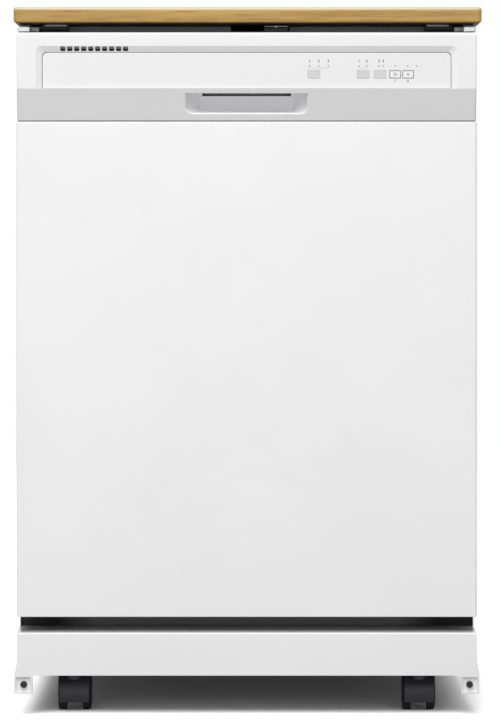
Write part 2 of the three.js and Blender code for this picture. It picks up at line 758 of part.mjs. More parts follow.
function addSilverwareBasket(group) {
  const wall = 2;
  const frontWallY = lowerFrontY + wire + fit;
  const low = lowerFloor + wire + fit;
  const top = low + basketHeight;
  const backWallY = frontWallY + basketDepth;
  const tub = block(-basketHalf, basketHalf, frontWallY, backWallY, low, top);
  const pitch = (2 * basketHalf - wall) / basketCells;
  const cells = [];
  for (let cell = 0; cell < basketCells; cell++) {
    const left = wall - basketHalf + cell * pitch;
    cells.push(block(
      left, left + pitch - wall, frontWallY + wall, backWallY - wall, low + wall, top + 1,
    ));
  }
  // the handle's feet stand on the two outer partitions
  const [near, far] = [pitch - 2.5, pitch + 2.5];
  const bow = [[-far, top - 12], [-far, top + 24], [far, top + 24], [far, top - 12],
    [near, top - 12], [near, top + 19], [-near, top + 19], [-near, top - 12]];
  const middleY = frontWallY + basketDepth / 2;
  const handle = prism('y', bow, middleY - 4, middleY + 4);
  const drains = [];
  for (let cell = 0; cell < basketCells; cell++) {
    const left = wall - basketHalf + cell * pitch + 12;
    for (const share of [0.3, 0.55]) {
      const z = low + share * basketHeight;
      drains.push(block(left, left + 28, frontWallY - 1, frontWallY + wall + 1, z, z + 12));
    }
  }
  piece(group, 'silverware_basket', join(cut(tub, ...cells, ...drains), handle), 'greyPlastic');
}

const upperFrontY = linerFaceY + 26;
const upperBackY = tubBackY - 40;
const upperHalf = tubHalf - 32;
const upperTop = upperFloor + upperWall;
const pipeLow = upperFloor - 17;
const pipeTop = pipeLow + 14;
const dockY = upperBackY + 3;
const pivotRadius = 8;

function addUpperRack(group) {
  const floorTop = upperFloor + wire;
  const parts = [
    lattice('z', -upperHalf, upperHalf, upperFrontY, upperBackY, rackAcross, rackDeep,
      upperFloor, floorTop),
    block(-12, 12, washY - 14, dockY, pipeLow, upperFloor + 1),
    rod('z', pivotRadius, pipeLow - 22, pipeLow + 1, 0, washY, 16),
    rod('z', pivotRadius + 4, pipeLow - 24, pipeLow - 20, 0, washY, 16),
  ];
  for (const y of [upperFrontY, upperBackY - wire]) {
    parts.push(lattice(
      'y', -upperHalf, upperHalf, upperFloor, upperTop, rackAcross, 2, y, y + wire,
    ));
  }
  for (const [, side] of sides) {
    const wallX = side * upperHalf;
    parts.push(lattice(
      'x', upperFrontY, upperBackY, upperFloor, upperTop, rackDeep, 2, wallX, wallX - side * wire,
    ));
    parts.push(block(
      wallX - side * 2, side * (railInner - fit), upperFrontY + 46, upperBackY - 20,
      railLow + 3, railLow + railHeight - 3,
    ));
  }
  const pitch = (2 * upperHalf - wire) / rackAcross;
  for (const column of [1, 5]) {
    const x = column * pitch - upperHalf;
    for (let row = 0; row < 6; row++) {
      const y = upperFrontY + 66 + row * (tinePitch - 5);
      parts.push(block(x, x + wire, y, y + wire, upperFloor + 1, upperFloor + upperTine));
    }
  }
  piece(group, 'upper_rack', join(...parts), 'coatedWire');

  for (const [name, side] of sides) {
    const rail = block(
      side * railInner, side * (tubHalf - fit), tubFrontY + 16, tubBackY - 10,
      railLow, railLow + railHeight,
    );
    piece(group, `upper_rail_${name}`, rail, 'stainless');
  }

  const low = pipeLow - 18;
  const arm = cut(
    prism('z', armOutline(washReach - 43, 22, 13), low, low + 12, 5),
    rod('z', pivotRadius + 0.6, low - 9, low + 30, 0, 0, 16),
  );
  const upper = new THREE.Group();
  upper.position.set(0, washY, 0);
  group.add(upper);
  piece(upper, 'upper_spray_arm', arm, 'greyPlastic');

  const riserY = tubBackY - 12;
  const ductFloor = tubFloor + fit;
  const runTop = floorRunTop;
  const duct = [
    [washY + sumpRadius + fit, ductFloor], [washY + sumpRadius + fit, runTop], [riserY, runTop],
    [riserY, pipeLow], [dockY + fit, pipeLow], [dockY + fit, pipeTop], [tubBackY - fit, pipeTop],
    [tubBackY - fit, ductFloor],
  ];
  piece(group, 'water_feed_tube', prism('x', duct, -12, 12), 'greyPlastic');
}

// ---------- door ----------
const linerHalf = halfWidth - moulding - fit;
const armInner = earOuter + 4.5;
const armPlate = 3;

function addDoorPanels(group) {
  const gauge = 1.5;
  const bend = 2;
  const half = halfWidth;
  const channel = [
    [-half, doorBackY], [-half, doorFaceY + bend], [bend - half, doorFaceY],
    [half - bend, doorFaceY], [half, doorFaceY + bend], [half, doorBackY],
    [half - gauge, doorBackY], [half - gauge, doorFaceY + gauge],
    [gauge - half, doorFaceY + gauge], [gauge - half, doorBackY],
  ];
  const lapped = gauge - 0.3;
  const [lipHalf, lipFrontY, lipBackY] = [half - lapped, doorFaceY + lapped, doorFaceY + 14];
  const panel = join(
    prism('z', channel, panelBottom, panelTop),
    block(-lipHalf, lipHalf, lipFrontY, lipBackY, panelBottom, panelBottom + gauge),
    block(-lipHalf, lipHalf, lipFrontY, lipBackY, panelTop - gauge, panelTop),
  );
  piece(group, 'door_outer_panel', panel, 'whiteEnamel');

  const fieldHalf = tubHalf - 10;
  const [fieldLow, fieldHigh] = [tubFloor + lipHeight + 3, tubCeiling - 10];
  const frontFace = doorBackY - moulding;
  const notchTop = hingeZ + 25;
  const plate = join(
    block(-linerHalf, linerHalf, frontFace, doorBackY, panelBottom + 2, consoleTop - moulding - fit),
    block(-fieldHalf, fieldHalf, frontFace, linerFaceY, fieldLow, fieldHigh),
  );
  const field = block(
    moulding - fieldHalf, fieldHalf - moulding, frontFace - 5, linerFaceY - moulding,
    fieldLow + moulding, fieldHigh - moulding,
  );
  const notches = sides.map(([, side]) => block(
    side * (earInner - 3), side * (halfWidth + 1), frontFace - 5, doorBackY + 5,
    panelBottom - 1, notchTop,
  ));
  const window = block(
    housingLeft - fit, housingRight + fit, doorBackY - 9, linerFaceY + 5,
    housingLow - fit, housingHigh + fit,
  );
  piece(group, 'door_liner', cut(plate, field, ...notches, window), 'tubPlastic');

  for (const [name, side] of sides) {
    const armFront = doorFaceY + gauge + fit;
    const blade = [
      [armFront, hingeZ + 120], [armFront, hingeZ], [hingeY - 4, hingeZ - hingeBoss],
      [hingeY + 4, hingeZ - hingeBoss], [hingeY + hingeBoss - 2, hingeZ],
      [hingeY + 4, hingeZ + 120],
    ];
    const arm = join(
      prism('x', blade, side * armInner, side * (armInner + armPlate)),
      rod('x', pinRadius, side * (earInner + 0.5), side * (armInner + 1), hingeY, hingeZ, 16),
    );
    piece(group, `hinge_arm_${name}`, arm, 'zinc');
  }
}

// Console: a hollow moulding with a tapered recess, vent slots and a scooped pocket.
const creaseZ = consoleBottom + bandDrop;
const recessDepth = 5;
const recessY = frontY + recessDepth;
const recessHalf = halfWidth - 34;
const recessTop = creaseZ + 49.2;
const recessTaper = 9.5;
const recessRadius = 6.4;
const bandFootY = doorFaceY - 1;
const linerSeatY = doorBackY - moulding - fit;
const wallBackY = recessY + moulding;
const pocketHalf = 81;
const pocketRadius = 14;
const pocketLow = consoleBottom + 9.5;
const pocketHigh = creaseZ - 4.3;
const pocketInnerHalf = 58;
const pocketInnerLow = pocketHigh - 7.5;
const pocketBackY = frontY + 34;
const pivotY = pocketBackY + 6;
const pivotZ = pocketHigh + 15.5;
const slotHeight = 5.5;
const ventCount = 10;
const ventPitch = 9.2;
const ventWidth = 6.2;
const ventHeight = 6.5;
const ventStart = 25 - recessHalf;

// x, z points of an upright U outline with rounded lower or upper corners.
function uLoop(half, low, high, radius, roundTop) {
  const loop = [];
  const steps = 4;
  const centreZ = roundTop ? high - radius : low + radius;
  const start = roundTop ? 0 : -90;
  for (let i = 0; i <= steps; i++) {
    const angle = radians(start + (90 * i) / steps);
    loop.push([half - radius + radius * Math.cos(angle), centreZ + radius * Math.sin(angle)]);
  }
  const mirrored = loop.map(([x, z]) => [-x, z]).reverse();
  const flatZ = roundTop ? low : high;
  return roundTop
    ? [[half, flatZ], ...loop, ...mirrored, [-half, flatZ]]
    : [...loop, [half, flatZ], [-half, flatZ], ...mirrored];
}

const bandY = (z) => bandFootY - ((z - consoleBottom) * (bandFootY - frontY)) / bandDrop;

function pocketBody(grow) {
  const front = uLoop(pocketHalf + grow, pocketLow - grow, pocketHigh + grow,
    pocketRadius + grow, false);
  const back = uLoop(pocketInnerHalf + grow, pocketInnerLow - grow, pocketHigh + grow,
    2 + grow, false);
  const lift = grow > 0 ? -1 : 0.5;
  return loft(
    front.map(([x, z]) => [x, bandY(z) - lift, z]),
    back.map(([x, z]) => [x, pocketBackY + grow, z]),
  );
}

const paddlePin = 3;
const padWidth = 16.1;
const padHeight = 10.3;
const keyWidth = 14.9;
const padZ = creaseZ + 19.2;
const keysRight = halfWidth - 91;    // centre of the rightmost key
const buttons = [
  ['cycle_button', keysRight - 125, padWidth], ['option_button', keysRight - 60, padWidth],
  ['delay_button', keysRight - 38, padWidth], ['start_button', keysRight - 17, keyWidth],
  ['cancel_button', keysRight, keyWidth],
];

function addConsole(group) {
  const outer = [
    [frontY + consoleTopEdge, consoleTop], [frontY + 1, consoleTop - 1],
    [frontY, consoleTop - consoleTopEdge], [frontY, creaseZ], [bandFootY, consoleBottom],
    [doorBackY, consoleBottom], [doorBackY, consoleTop],
  ];
  const inner = [
    [wallBackY, consoleTop - moulding], [wallBackY, creaseZ - 4],
    [bandFootY + moulding, consoleBottom + moulding], [linerSeatY, consoleBottom + moulding],
    [linerSeatY, consoleBottom - 1], [doorBackY + 9, consoleBottom - 1],
    [doorBackY + 9, consoleTop - moulding],
  ];
  const shell = cut(
    prism('x', outer, -halfWidth, halfWidth),
    prism('x', inner, moulding - halfWidth, halfWidth - moulding),
  );
  const reach = 1 + recessTaper / recessDepth;
  const wide = uLoop(recessHalf + recessTaper * reach, creaseZ, recessTop + recessTaper * reach,
    recessRadius + 2 * recessTaper * reach, true);
  const deep = uLoop(recessHalf, creaseZ, recessTop, recessRadius, true);
  const recess = loft(
    wide.map(([x, z]) => [x, recessY - recessDepth * reach, z]),
    deep.map(([x, z]) => [x, recessY, z]),
  );
  const slots = [];
  const ventLow = recessTop + 1.3;
  for (let i = 0; i < ventCount; i++) {
    const x = ventStart + i * ventPitch;
    slots.push(block(
      x, x + ventWidth, frontY - 5, wallBackY + 2, ventLow, ventLow + ventHeight,
    ));
  }
  for (const [, x, width] of buttons) {
    const half = width / 2 + fit;
    slots.push(block(
      x - half, x + half, frontY - 5, wallBackY + 2,
      padZ - padHeight / 2 - fit, padZ + padHeight / 2 + fit,
    ));
  }
  const lugs = sides.map(([, side]) => cut(
    block(
      side * pocketInnerHalf, side * (pocketInnerHalf + 5), wallBackY - 1, pivotY + 5,
      pivotZ - 5, pivotZ + 5,
    ),
    rod(
      'x', paddlePin + 0.4, side * (pocketInnerHalf - 8), side * (pocketInnerHalf + 12),
      pivotY, pivotZ, 12,
    ),
  ));
  const finger = block(
    -pocketInnerHalf, pocketInnerHalf, pocketBackY - 1, pocketBackY + 9,
    pocketHigh - 1 - slotHeight, pocketHigh - 1,
  );
  const body = cut(join(shell, pocketBody(moulding), ...lugs), recess, pocketBody(0), finger,
    ...slots);
  piece(group, 'console', body, 'whitePlastic');

  for (const [name, x, width] of buttons) {
    const key = join(
      block(x - width / 2, x + width / 2, recessY - 0.4, wallBackY + 1,
        padZ - padHeight / 2, padZ + padHeight / 2),
      block(x - width / 2 - 1, x + width / 2 + 1, wallBackY + fit, wallBackY + 1.8,
        padZ - padHeight / 2 - 1, padZ + padHeight / 2 + 1),
      rod('y', 3, wallBackY + 1, wallBackY + 3.4, x, padZ, 10),
    );
    piece(group, name, key, 'greyPlastic');
  }
  const boardY = wallBackY + 5;
  const [boardLeft, boardRight] = [buttons[0][1] - 19, buttons[buttons.length - 1][1] + 26];
  const pegs = [];
  for (const x of [boardLeft + 4, boardRight - 4]) {
    for (const z of [padZ - 10, padZ + 18]) {
      pegs.push(rod('y', 2, wallBackY + fit, boardY + 0.5, x, z, 8));
    }
  }
  const card = block(boardLeft, boardRight, boardY, boardY + 1.6, padZ - 14, padZ + 22);
  piece(group, 'control_board', join(card, ...pegs), 'board');

  const paddleHalf = pocketInnerHalf - 3;
  const paddle = join(
    block(-paddleHalf, paddleHalf, pivotY - 1.2, pivotY + 1.3, pocketInnerLow - 6, pivotZ),
    rod('x', paddlePin, -pocketInnerHalf - 4, pocketInnerHalf + 4, pivotY, pivotZ, 12),
  );
  piece(group, 'latch_handle', paddle, 'blackPlastic');
  const latchTop = consoleTop - moulding - fit;
  const latch = cut(
    block(strikeLeft - 7, strikeRight + 7, linerSeatY - 32, linerSeatY, latchTop - 34, latchTop),
    block(strikeLeft + 3, strikeRight - 3, doorBackY - 25, doorBackY, consoleTop - 12, consoleTop),
  );
  piece(group, 'latch_body', latch, 'blackPlastic');
}

// Dispenser in the door liner: housing with a detergent cup, its lid and the rinse-aid cap.
const housingLeft = -88;
const housingRight = 78;
const housingLow = 382;
const housingHigh = 482;
const faceY = linerFaceY + 4;

function addDispenser(group) {
  const knuckleY = faceY + 2.8;
  const knuckleZ = housingLow + 5;
  const cupCut = block(housingLeft + 8, -10, faceY - 26, faceY + 9, housingLow + 12,
    housingHigh - 8);
  const [capX, capZ] = [42, housingLow + 50];
  const lugs = [[housingLeft - 1, housingLeft + 3], [-6, -2]].map(([xa, xb]) => cut(
    block(xa, xb, faceY - 1, knuckleY + 3, housingLow + 1, knuckleZ + 3.6),
    rod('x', 2.6, xa - 5, xb + 5, knuckleY, knuckleZ, 12),
  ));
  const body = join(
    block(housingLeft, housingRight, faceY - 32, faceY, housingLow, housingHigh),
    block(housingLeft - 5, housingRight + 5, linerFaceY + fit, faceY, housingLow - 5,
      housingHigh + 5),
    ...lugs,
  );
  piece(group, 'dispenser_housing', cut(body, cupCut,
    rod('y', 8.6, faceY - 14, faceY + 9, capX, capZ)), 'greyPlastic');

  const lid = join(
    block(housingLeft + 4, -7, faceY + fit, faceY + 3.3, knuckleZ + 2.4, housingHigh - 4),
    block(housingLeft + 4, -7, knuckleY - 0.8, knuckleY + 0.5, knuckleZ, knuckleZ + 3),
    rod('x', 2.1, housingLeft, -3, knuckleY, knuckleZ, 10),
  );
  piece(group, 'dispenser_lid', lid, 'whitePlastic');
  const cap = join(
    turned('y', [
      [0, faceY - 12], [8, faceY - 12], [8, faceY + fit], [17, faceY + fit], [17, faceY + 3],
      [15, faceY + 4.5], [0, faceY + 4.5],
    ], capX, capZ),
    block(capX - 14, capX + 14, faceY + 4, faceY + 8, capZ - 2.5, capZ + 2.5),
  );
  piece(group, 'rinse_aid_cap', cap, 'blackPlastic');
}

// ---------- casters ----------
function addCaster(group, name, x, y) {
  const caster = new THREE.Group();
  caster.position.set(x, y, 0);
  group.add(caster);
  const axleZ = wheelRadius;
  const [hoodOuter, hoodInner, webHalf] = [wheelRadius + 4, wheelRadius + 1.5, 9];
  const hoodShape = new THREE.Shape();
  hoodShape.absarc(casterTrail, axleZ, hoodOuter, radians(10), radians(hoodFoot), false);
  hoodShape.absarc(casterTrail, axleZ, hoodInner, radians(hoodFoot), radians(10), true);
  const webShape = new THREE.Shape();
  webShape.absarc(casterTrail, axleZ, hoodInner + 1, radians(-30), radians(hoodFoot), false);
  const hoodHalf = casterWidth / 2 - 2.25;
  const fork = cut(
    join(
      prism('x', hoodShape, -hoodHalf, hoodHalf, 9),
      prism('x', webShape, -webHalf, webHalf, 9),
      rod('z', stemRadius, wheelRadius + 15, bossTop - 2 - fit, 0, 0),
      rod('z', webHalf, wheelRadius + 18, baseBottom - fit, 0, 0),
    ),
    rod('x', casterAxle + 0.4, -30, 30, casterTrail, axleZ),
  );
  piece(caster, `caster_fork_${name}`, fork, 'blackPlastic');
  const corner = wheelRadius / Math.cos(Math.PI / 24);
  const outerFace = casterWidth / 2;
  const wheels = [-1, 1].map((side) => rod(
    'x', corner, side * (outerFace - wheelWidth), side * outerFace, casterTrail, axleZ, 24,
  ));
  const axle = rod('x', casterAxle, 1 - outerFace, outerFace - 1, casterTrail, axleZ, 12);
  piece(caster, `caster_wheels_${name}`, join(axle, ...wheels), 'rubber');
}

addWorktop(dishwasher);
addTopRail(dishwasher);
addCabinet(dishwasher);
addBase(dishwasher);
addToePanel(dishwasher);
addTub(dishwasher);
addWashParts(dishwasher);
addUnderTub(dishwasher);
addLowerRack(dishwasher);
addSilverwareBasket(dishwasher);
addUpperRack(dishwasher);
addDoorPanels(dishwasher);
addConsole(dishwasher);
addDispenser(dishwasher);
for (const [name, side] of sides) {
  addCaster(dishwasher, `front_${name}`, side * casterX, -casterY);
  addCaster(dishwasher, `rear_${name}`, side * casterX, casterY);
}

export default dishwasher;
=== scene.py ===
from math import atan2, cos, pi, radians, sin

import bpy
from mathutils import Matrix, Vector


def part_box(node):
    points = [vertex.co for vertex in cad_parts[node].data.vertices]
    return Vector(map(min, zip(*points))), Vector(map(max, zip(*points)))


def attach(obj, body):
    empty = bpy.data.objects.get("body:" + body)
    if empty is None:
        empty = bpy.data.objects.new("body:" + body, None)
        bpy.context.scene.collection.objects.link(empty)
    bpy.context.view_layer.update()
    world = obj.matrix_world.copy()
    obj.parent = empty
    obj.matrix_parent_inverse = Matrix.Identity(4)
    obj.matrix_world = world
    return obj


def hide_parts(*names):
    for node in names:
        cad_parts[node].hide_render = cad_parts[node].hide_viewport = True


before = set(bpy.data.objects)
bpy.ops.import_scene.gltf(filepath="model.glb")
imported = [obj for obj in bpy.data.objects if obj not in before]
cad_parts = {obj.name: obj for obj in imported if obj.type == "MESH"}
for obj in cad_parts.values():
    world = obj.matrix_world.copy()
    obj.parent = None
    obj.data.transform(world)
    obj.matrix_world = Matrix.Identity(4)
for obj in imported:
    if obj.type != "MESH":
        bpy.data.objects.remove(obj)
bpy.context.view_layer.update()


# ---------- places taken from the frame ----------
slab_low, slab_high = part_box("countertop")
console_low, console_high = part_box("console")
panel_low, panel_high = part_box("door_outer_panel")
liner_low, liner_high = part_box("door_liner")
toe_low, toe_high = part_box("toe_panel")
rail_low, rail_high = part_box("top_front_rail")
side_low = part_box("side_panel_right")[0]
rear_low, rear_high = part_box("rear_panel")
tub_low, tub_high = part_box("tub")

half_width = panel_high.x
front_y = console_low.y
door_face_y = panel_low.y
door_back_y = panel_high.y
sheet = 0.0012                    # cabinet steel
tiny = 1e-5
lap = 0.001                       # how far joined bodies meet, and shallow cutters pass a face
beyond = 0.01                     # how far cutters that go through reach past what they cut
SIDES = (("left", -1), ("right", 1))


# ---------- modelling by hand ----------
def only(*pieces):
    """Selects these pieces and nothing else."""
    for other in list(bpy.context.selected_objects):
        other.select_set(False)
    for piece in pieces:
        piece.select_set(True)
    if pieces:
        bpy.context.view_layer.objects.active = pieces[0]


def settle(piece, name=None):
    """Puts a piece's place, turn and size into its mesh."""
    only(piece)
    bpy.ops.object.transform_apply(location=True, rotation=True, scale=True)
    if name:
        piece.name = piece.data.name = name
    return piece


def block(name, low, high):
    low, high = Vector(low), Vector(high)
    only()
    bpy.ops.mesh.primitive_cube_add(size=1, location=(low + high) / 2, scale=high - low)
    return settle(bpy.context.active_object, name)


TURNS = {"x": (0, pi / 2, 0), "y": (pi / 2, 0, 0), "z": (0, 0, 0)}


def spot(axis, along, across):
    """A point from its place along an axis and its two other coordinates in order."""
    u, v = across
    return Vector({"x": (along, u, v), "y": (u, along, v), "z": (u, v, along)}[axis])


def rod(name, axis, radius, start, end, across, sides=48):
    only()
    bpy.ops.mesh.primitive_cylinder_add(
        vertices=sides, radius=radius, depth=abs(end - start),
        location=spot(axis, (start + end) / 2, across), rotation=TURNS[axis],
    )
    return settle(bpy.context.active_object, name)


def pick(piece, mode, test):
    """Opens the piece in edit mode with the points, edges or faces that pass the test."""
    only(piece)
    bpy.ops.object.mode_set(mode="EDIT")
    bpy.ops.mesh.select_mode(type=mode)
    bpy.ops.mesh.select_all(action="DESELECT")
    bpy.ops.object.mode_set(mode="OBJECT")
    points = piece.data.vertices
    if mode == "VERT":
        for point in points:
            point.select = test(point.co)
    if mode == "EDGE":
        for edge in piece.data.edges:
            edge.select = test(*(points[i].co for i in edge.vertices))
    if mode == "FACE":
        for face in piece.data.polygons:
            face.select = test(face.center, face.normal)
    bpy.ops.object.mode_set(mode="EDIT")


def leave():
    bpy.ops.object.mode_set(mode="OBJECT")


def every(*geometry):
    """The test that all points, edges and faces pass."""
    return True


def runs(a, b, axis):
    """True for an edge along the axis: 0 for X, 1 for Y, 2 for Z."""
    way = b - a
    return abs(way[axis]) > 0.999 * way.length


def round_edges(piece, test, radius, segments=4):
    pick(piece, "EDGE", test)
    bpy.ops.mesh.bevel(offset=radius, segments=segments, affect="EDGES")
    leave()
    return piece


def rounded_box(name, low, high, axis, radius, segments=4):
    """A block with its edges along one axis rounded: 0 for X, 1 for Y, 2 for Z."""
    return round_edges(block(name, low, high), lambda a, b: runs(a, b, axis), radius, segments)


def on_side(side, one, other):
    """The left and the right end of a stretch beside the middle, on the side that is asked for."""
    return sorted((side * one, side * other))


def level(axis, value):
    """A test for edges that lie in one plane across an axis."""
    return lambda a, b: abs(a[axis] - value) < tiny and abs(b[axis] - value) < tiny


def middle(low, high, axes):
    """The middle of a box, as the coordinates that are asked for."""
    return tuple((getattr(low, axis) + getattr(high, axis)) / 2 for axis in axes)


def open_up(piece, test):
    """Takes away the faces that pass the test."""
    pick(piece, "FACE", test)
    bpy.ops.mesh.delete(type="FACE")
    leave()


def push(piece, mode, test, step):
    """Moves the points or faces that pass the test."""
    pick(piece, mode, test)
    bpy.ops.transform.translate(value=step)
    leave()


def stretch(piece, mode, test, scale, centre):
    """Resizes the points or faces that pass the test, about a centre."""
    pick(piece, mode, test)
    bpy.ops.transform.resize(value=scale, center_override=centre)
    leave()


def round_corners(piece, test, radius, segments):
    pick(piece, "VERT", test)
    bpy.ops.mesh.bevel(offset=radius, segments=segments, affect="VERTICES")
    leave()
    return piece


def draw_out(depth):
    """Extrudes the selected faces along Y."""
    bpy.ops.mesh.extrude_region_move(TRANSFORM_OT_translate={"value": (0, depth, 0)})


def turn(piece, angle, axis, centre):
    """Turns all of a piece's mesh round a point."""
    pick(piece, "VERT", every)
    bpy.ops.transform.rotate(value=angle, orient_axis=axis, center_override=centre)
    leave()


def dish(piece, axis, test, steps):
    """Insets the faces that pass, step by step, and pushes them along an axis after each inset."""
    pick(piece, "FACE", test)
    for thickness, depth in steps:
        bpy.ops.mesh.inset(thickness=thickness)
        if depth:
            bpy.ops.transform.translate(value=spot(axis, depth, (0, 0)))
    leave()


def hollow_front(piece, rim, depth):
    """Sinks the front face behind a rim."""
    pick(piece, "FACE", lambda c, n: n.y < -0.9)
    bpy.ops.mesh.inset(thickness=rim)
    draw_out(depth)
    leave()


def face_out(piece):
    pick(piece, "FACE", every)
    bpy.ops.mesh.normals_make_consistent(inside=False)
    leave()
    return piece


def slant(piece, point, normal):
    """Cuts off what lies beyond a plane and closes the cut."""
    pick(piece, "VERT", every)
    bpy.ops.mesh.bisect(plane_co=point, plane_no=normal, use_fill=True, clear_outer=True)
    leave()
    return piece


def modify(piece, kind, **settings):
    only(piece)
    modifier = piece.modifiers.new(kind.lower(), kind)
    for key, value in settings.items():
        setattr(modifier, key, value)
    bpy.ops.object.modifier_apply(modifier=modifier.name)
    return piece


def carve(piece, *tools, operation="DIFFERENCE"):
    for tool in tools:
        modify(piece, "BOOLEAN", object=tool, operation=operation, solver="EXACT")
        bpy.data.objects.remove(tool)
    return piece


def unite(piece, *others):
    return carve(piece, *others, operation="UNION")


def together(name, *pieces):
    """Joins separate bodies in one mesh."""
    only(*pieces)
    bpy.ops.object.join()
    piece = bpy.context.active_object
    piece.name = piece.data.name = name
    return piece


def to_sheet(piece, thickness):
    """Gives an open skin its thickness, inwards."""
    return modify(piece, "SOLIDIFY", thickness=thickness, offset=-1, use_even_offset=True)


def repeat(piece, count, step):
    return modify(piece, "ARRAY", count=count, use_relative_offset=False,
                  use_constant_offset=True, constant_offset_displace=step)


def tidy(piece):
    """Merges double points and joins flat faces."""
    pick(piece, "VERT", every)
    bpy.ops.mesh.remove_doubles(threshold=tiny)
    bpy.ops.mesh.dissolve_limited(angle_limit=radians(1))
    leave()
    return piece


def soften(piece, width, segments=2, angle=35, smooth=45):
    """Rounds every sharp edge a little and smooths the shading up to an angle."""
    if width:
        tidy(piece)
        modify(piece, "BEVEL", width=width, segments=segments, limit_method="ANGLE",
               angle_limit=radians(angle))
    only(piece)
    bpy.ops.object.shade_smooth_by_angle(angle=radians(smooth))
    return modify(piece, "WEIGHTED_NORMAL", keep_sharp=True)


def from_frame(node, width, segments=2):
    """A merged copy of a frame node with its sharp edges rounded."""
    piece = bpy.data.objects.new(node + "_shown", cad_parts[node].data.copy())
    bpy.context.scene.collection.objects.link(piece)
    only(piece)
    bpy.ops.mesh.customdata_custom_splitnormals_clear()
    return soften(piece, width, segments)


def folded(name, axis, path, start, end, thickness, radius):
    """Sheet metal along an axis, folded through the path's points at mid-thickness."""
    only()
    bpy.ops.mesh.primitive_plane_add(size=1)
    strip = bpy.context.active_object
    corners = [spot(axis, place, point) for point in path[:2] for place in (start, end)]
    for vertex, corner in zip(strip.data.vertices, corners):
        vertex.co = corner
    pick(strip, "EDGE", lambda a, b: all(
        min((p - corners[2]).length, (p - corners[3]).length) < tiny for p in (a, b)))
    for near, far in zip(path[1:], path[2:]):
        step = spot(axis, 0, far) - spot(axis, 0, near)
        bpy.ops.mesh.extrude_edges_move(TRANSFORM_OT_translate={"value": step})
    leave()
    ends = [spot(axis, start, path[0]), spot(axis, start, path[-1])]
    index = "xyz".index(axis)

    def is_fold(a, b):
        low = a if a[index] < b[index] else b
        return runs(a, b, index) and all((low - end).length > tiny for end in ends)

    if radius:
        round_edges(strip, is_fold, radius, 5)
    modify(strip, "SOLIDIFY", thickness=thickness, offset=0, use_even_offset=True)
    strip.name = strip.data.name = name
    return strip


def single_point(name, place):
    """A mesh of one point, left open in edit mode."""
    only()
    bpy.ops.mesh.primitive_plane_add(size=0.001, location=place)
    piece = settle(bpy.context.active_object, name)
    pick(piece, "VERT", every)
    bpy.ops.mesh.merge(type="CENTER")
    return piece


def bent(points, corner=0, closed=False):
    """A line of edges through the points, with rounded corners."""
    line = single_point("line", points[0])
    for near, far in zip(points, points[1:]):
        step = Vector(far) - Vector(near)
        bpy.ops.mesh.extrude_vertices_move(TRANSFORM_OT_translate={"value": step})
    leave()
    if closed:
        ends = [Vector(points[0]), Vector(points[-1])]
        pick(line, "VERT", lambda point: any((point - end).length < tiny for end in ends))
        bpy.ops.mesh.edge_face_add()
        leave()
    if corner:
        inner = points if closed else points[1:-1]
        round_corners(line, lambda p: any((p - Vector(q)).length < tiny for q in inner), corner, 4)
    return line


def thicken(name, lines, radius, resolution=2):
    """Round wire along lines of edges."""
    wire = together(name, *lines)
    bpy.ops.object.convert(target="CURVE")
    wire.data.bevel_depth = radius
    wire.data.bevel_resolution = resolution
    wire.data.use_fill_caps = True
    bpy.ops.object.convert(target="MESH")
    bpy.ops.object.shade_smooth_by_angle(angle=radians(60))
    wire.name = wire.data.name = name
    return wire


# ---------- finishes ----------
def srgb(red, green, blue):
    """A colour seen on screen, 0 to 255, as the linear colour of a shader."""
    def linear(value):
        value /= 255
        return value / 12.92 if value < 0.04045 else ((value + 0.055) / 1.055) ** 2.4
    return (linear(red), linear(green), linear(blue), 1)


def add_node(tree, kind, inputs=None, **settings):
    """Adds a shader node; an input is another node's output or a constant."""
    node = tree.nodes.new("ShaderNode" + kind)
    for key, value in settings.items():
        setattr(node, key, value)
    for key, value in (inputs or {}).items():
        if isinstance(value, bpy.types.NodeSocket):
            tree.links.new(value, node.inputs[key])
        else:
            node.inputs[key].default_value = value
    return node


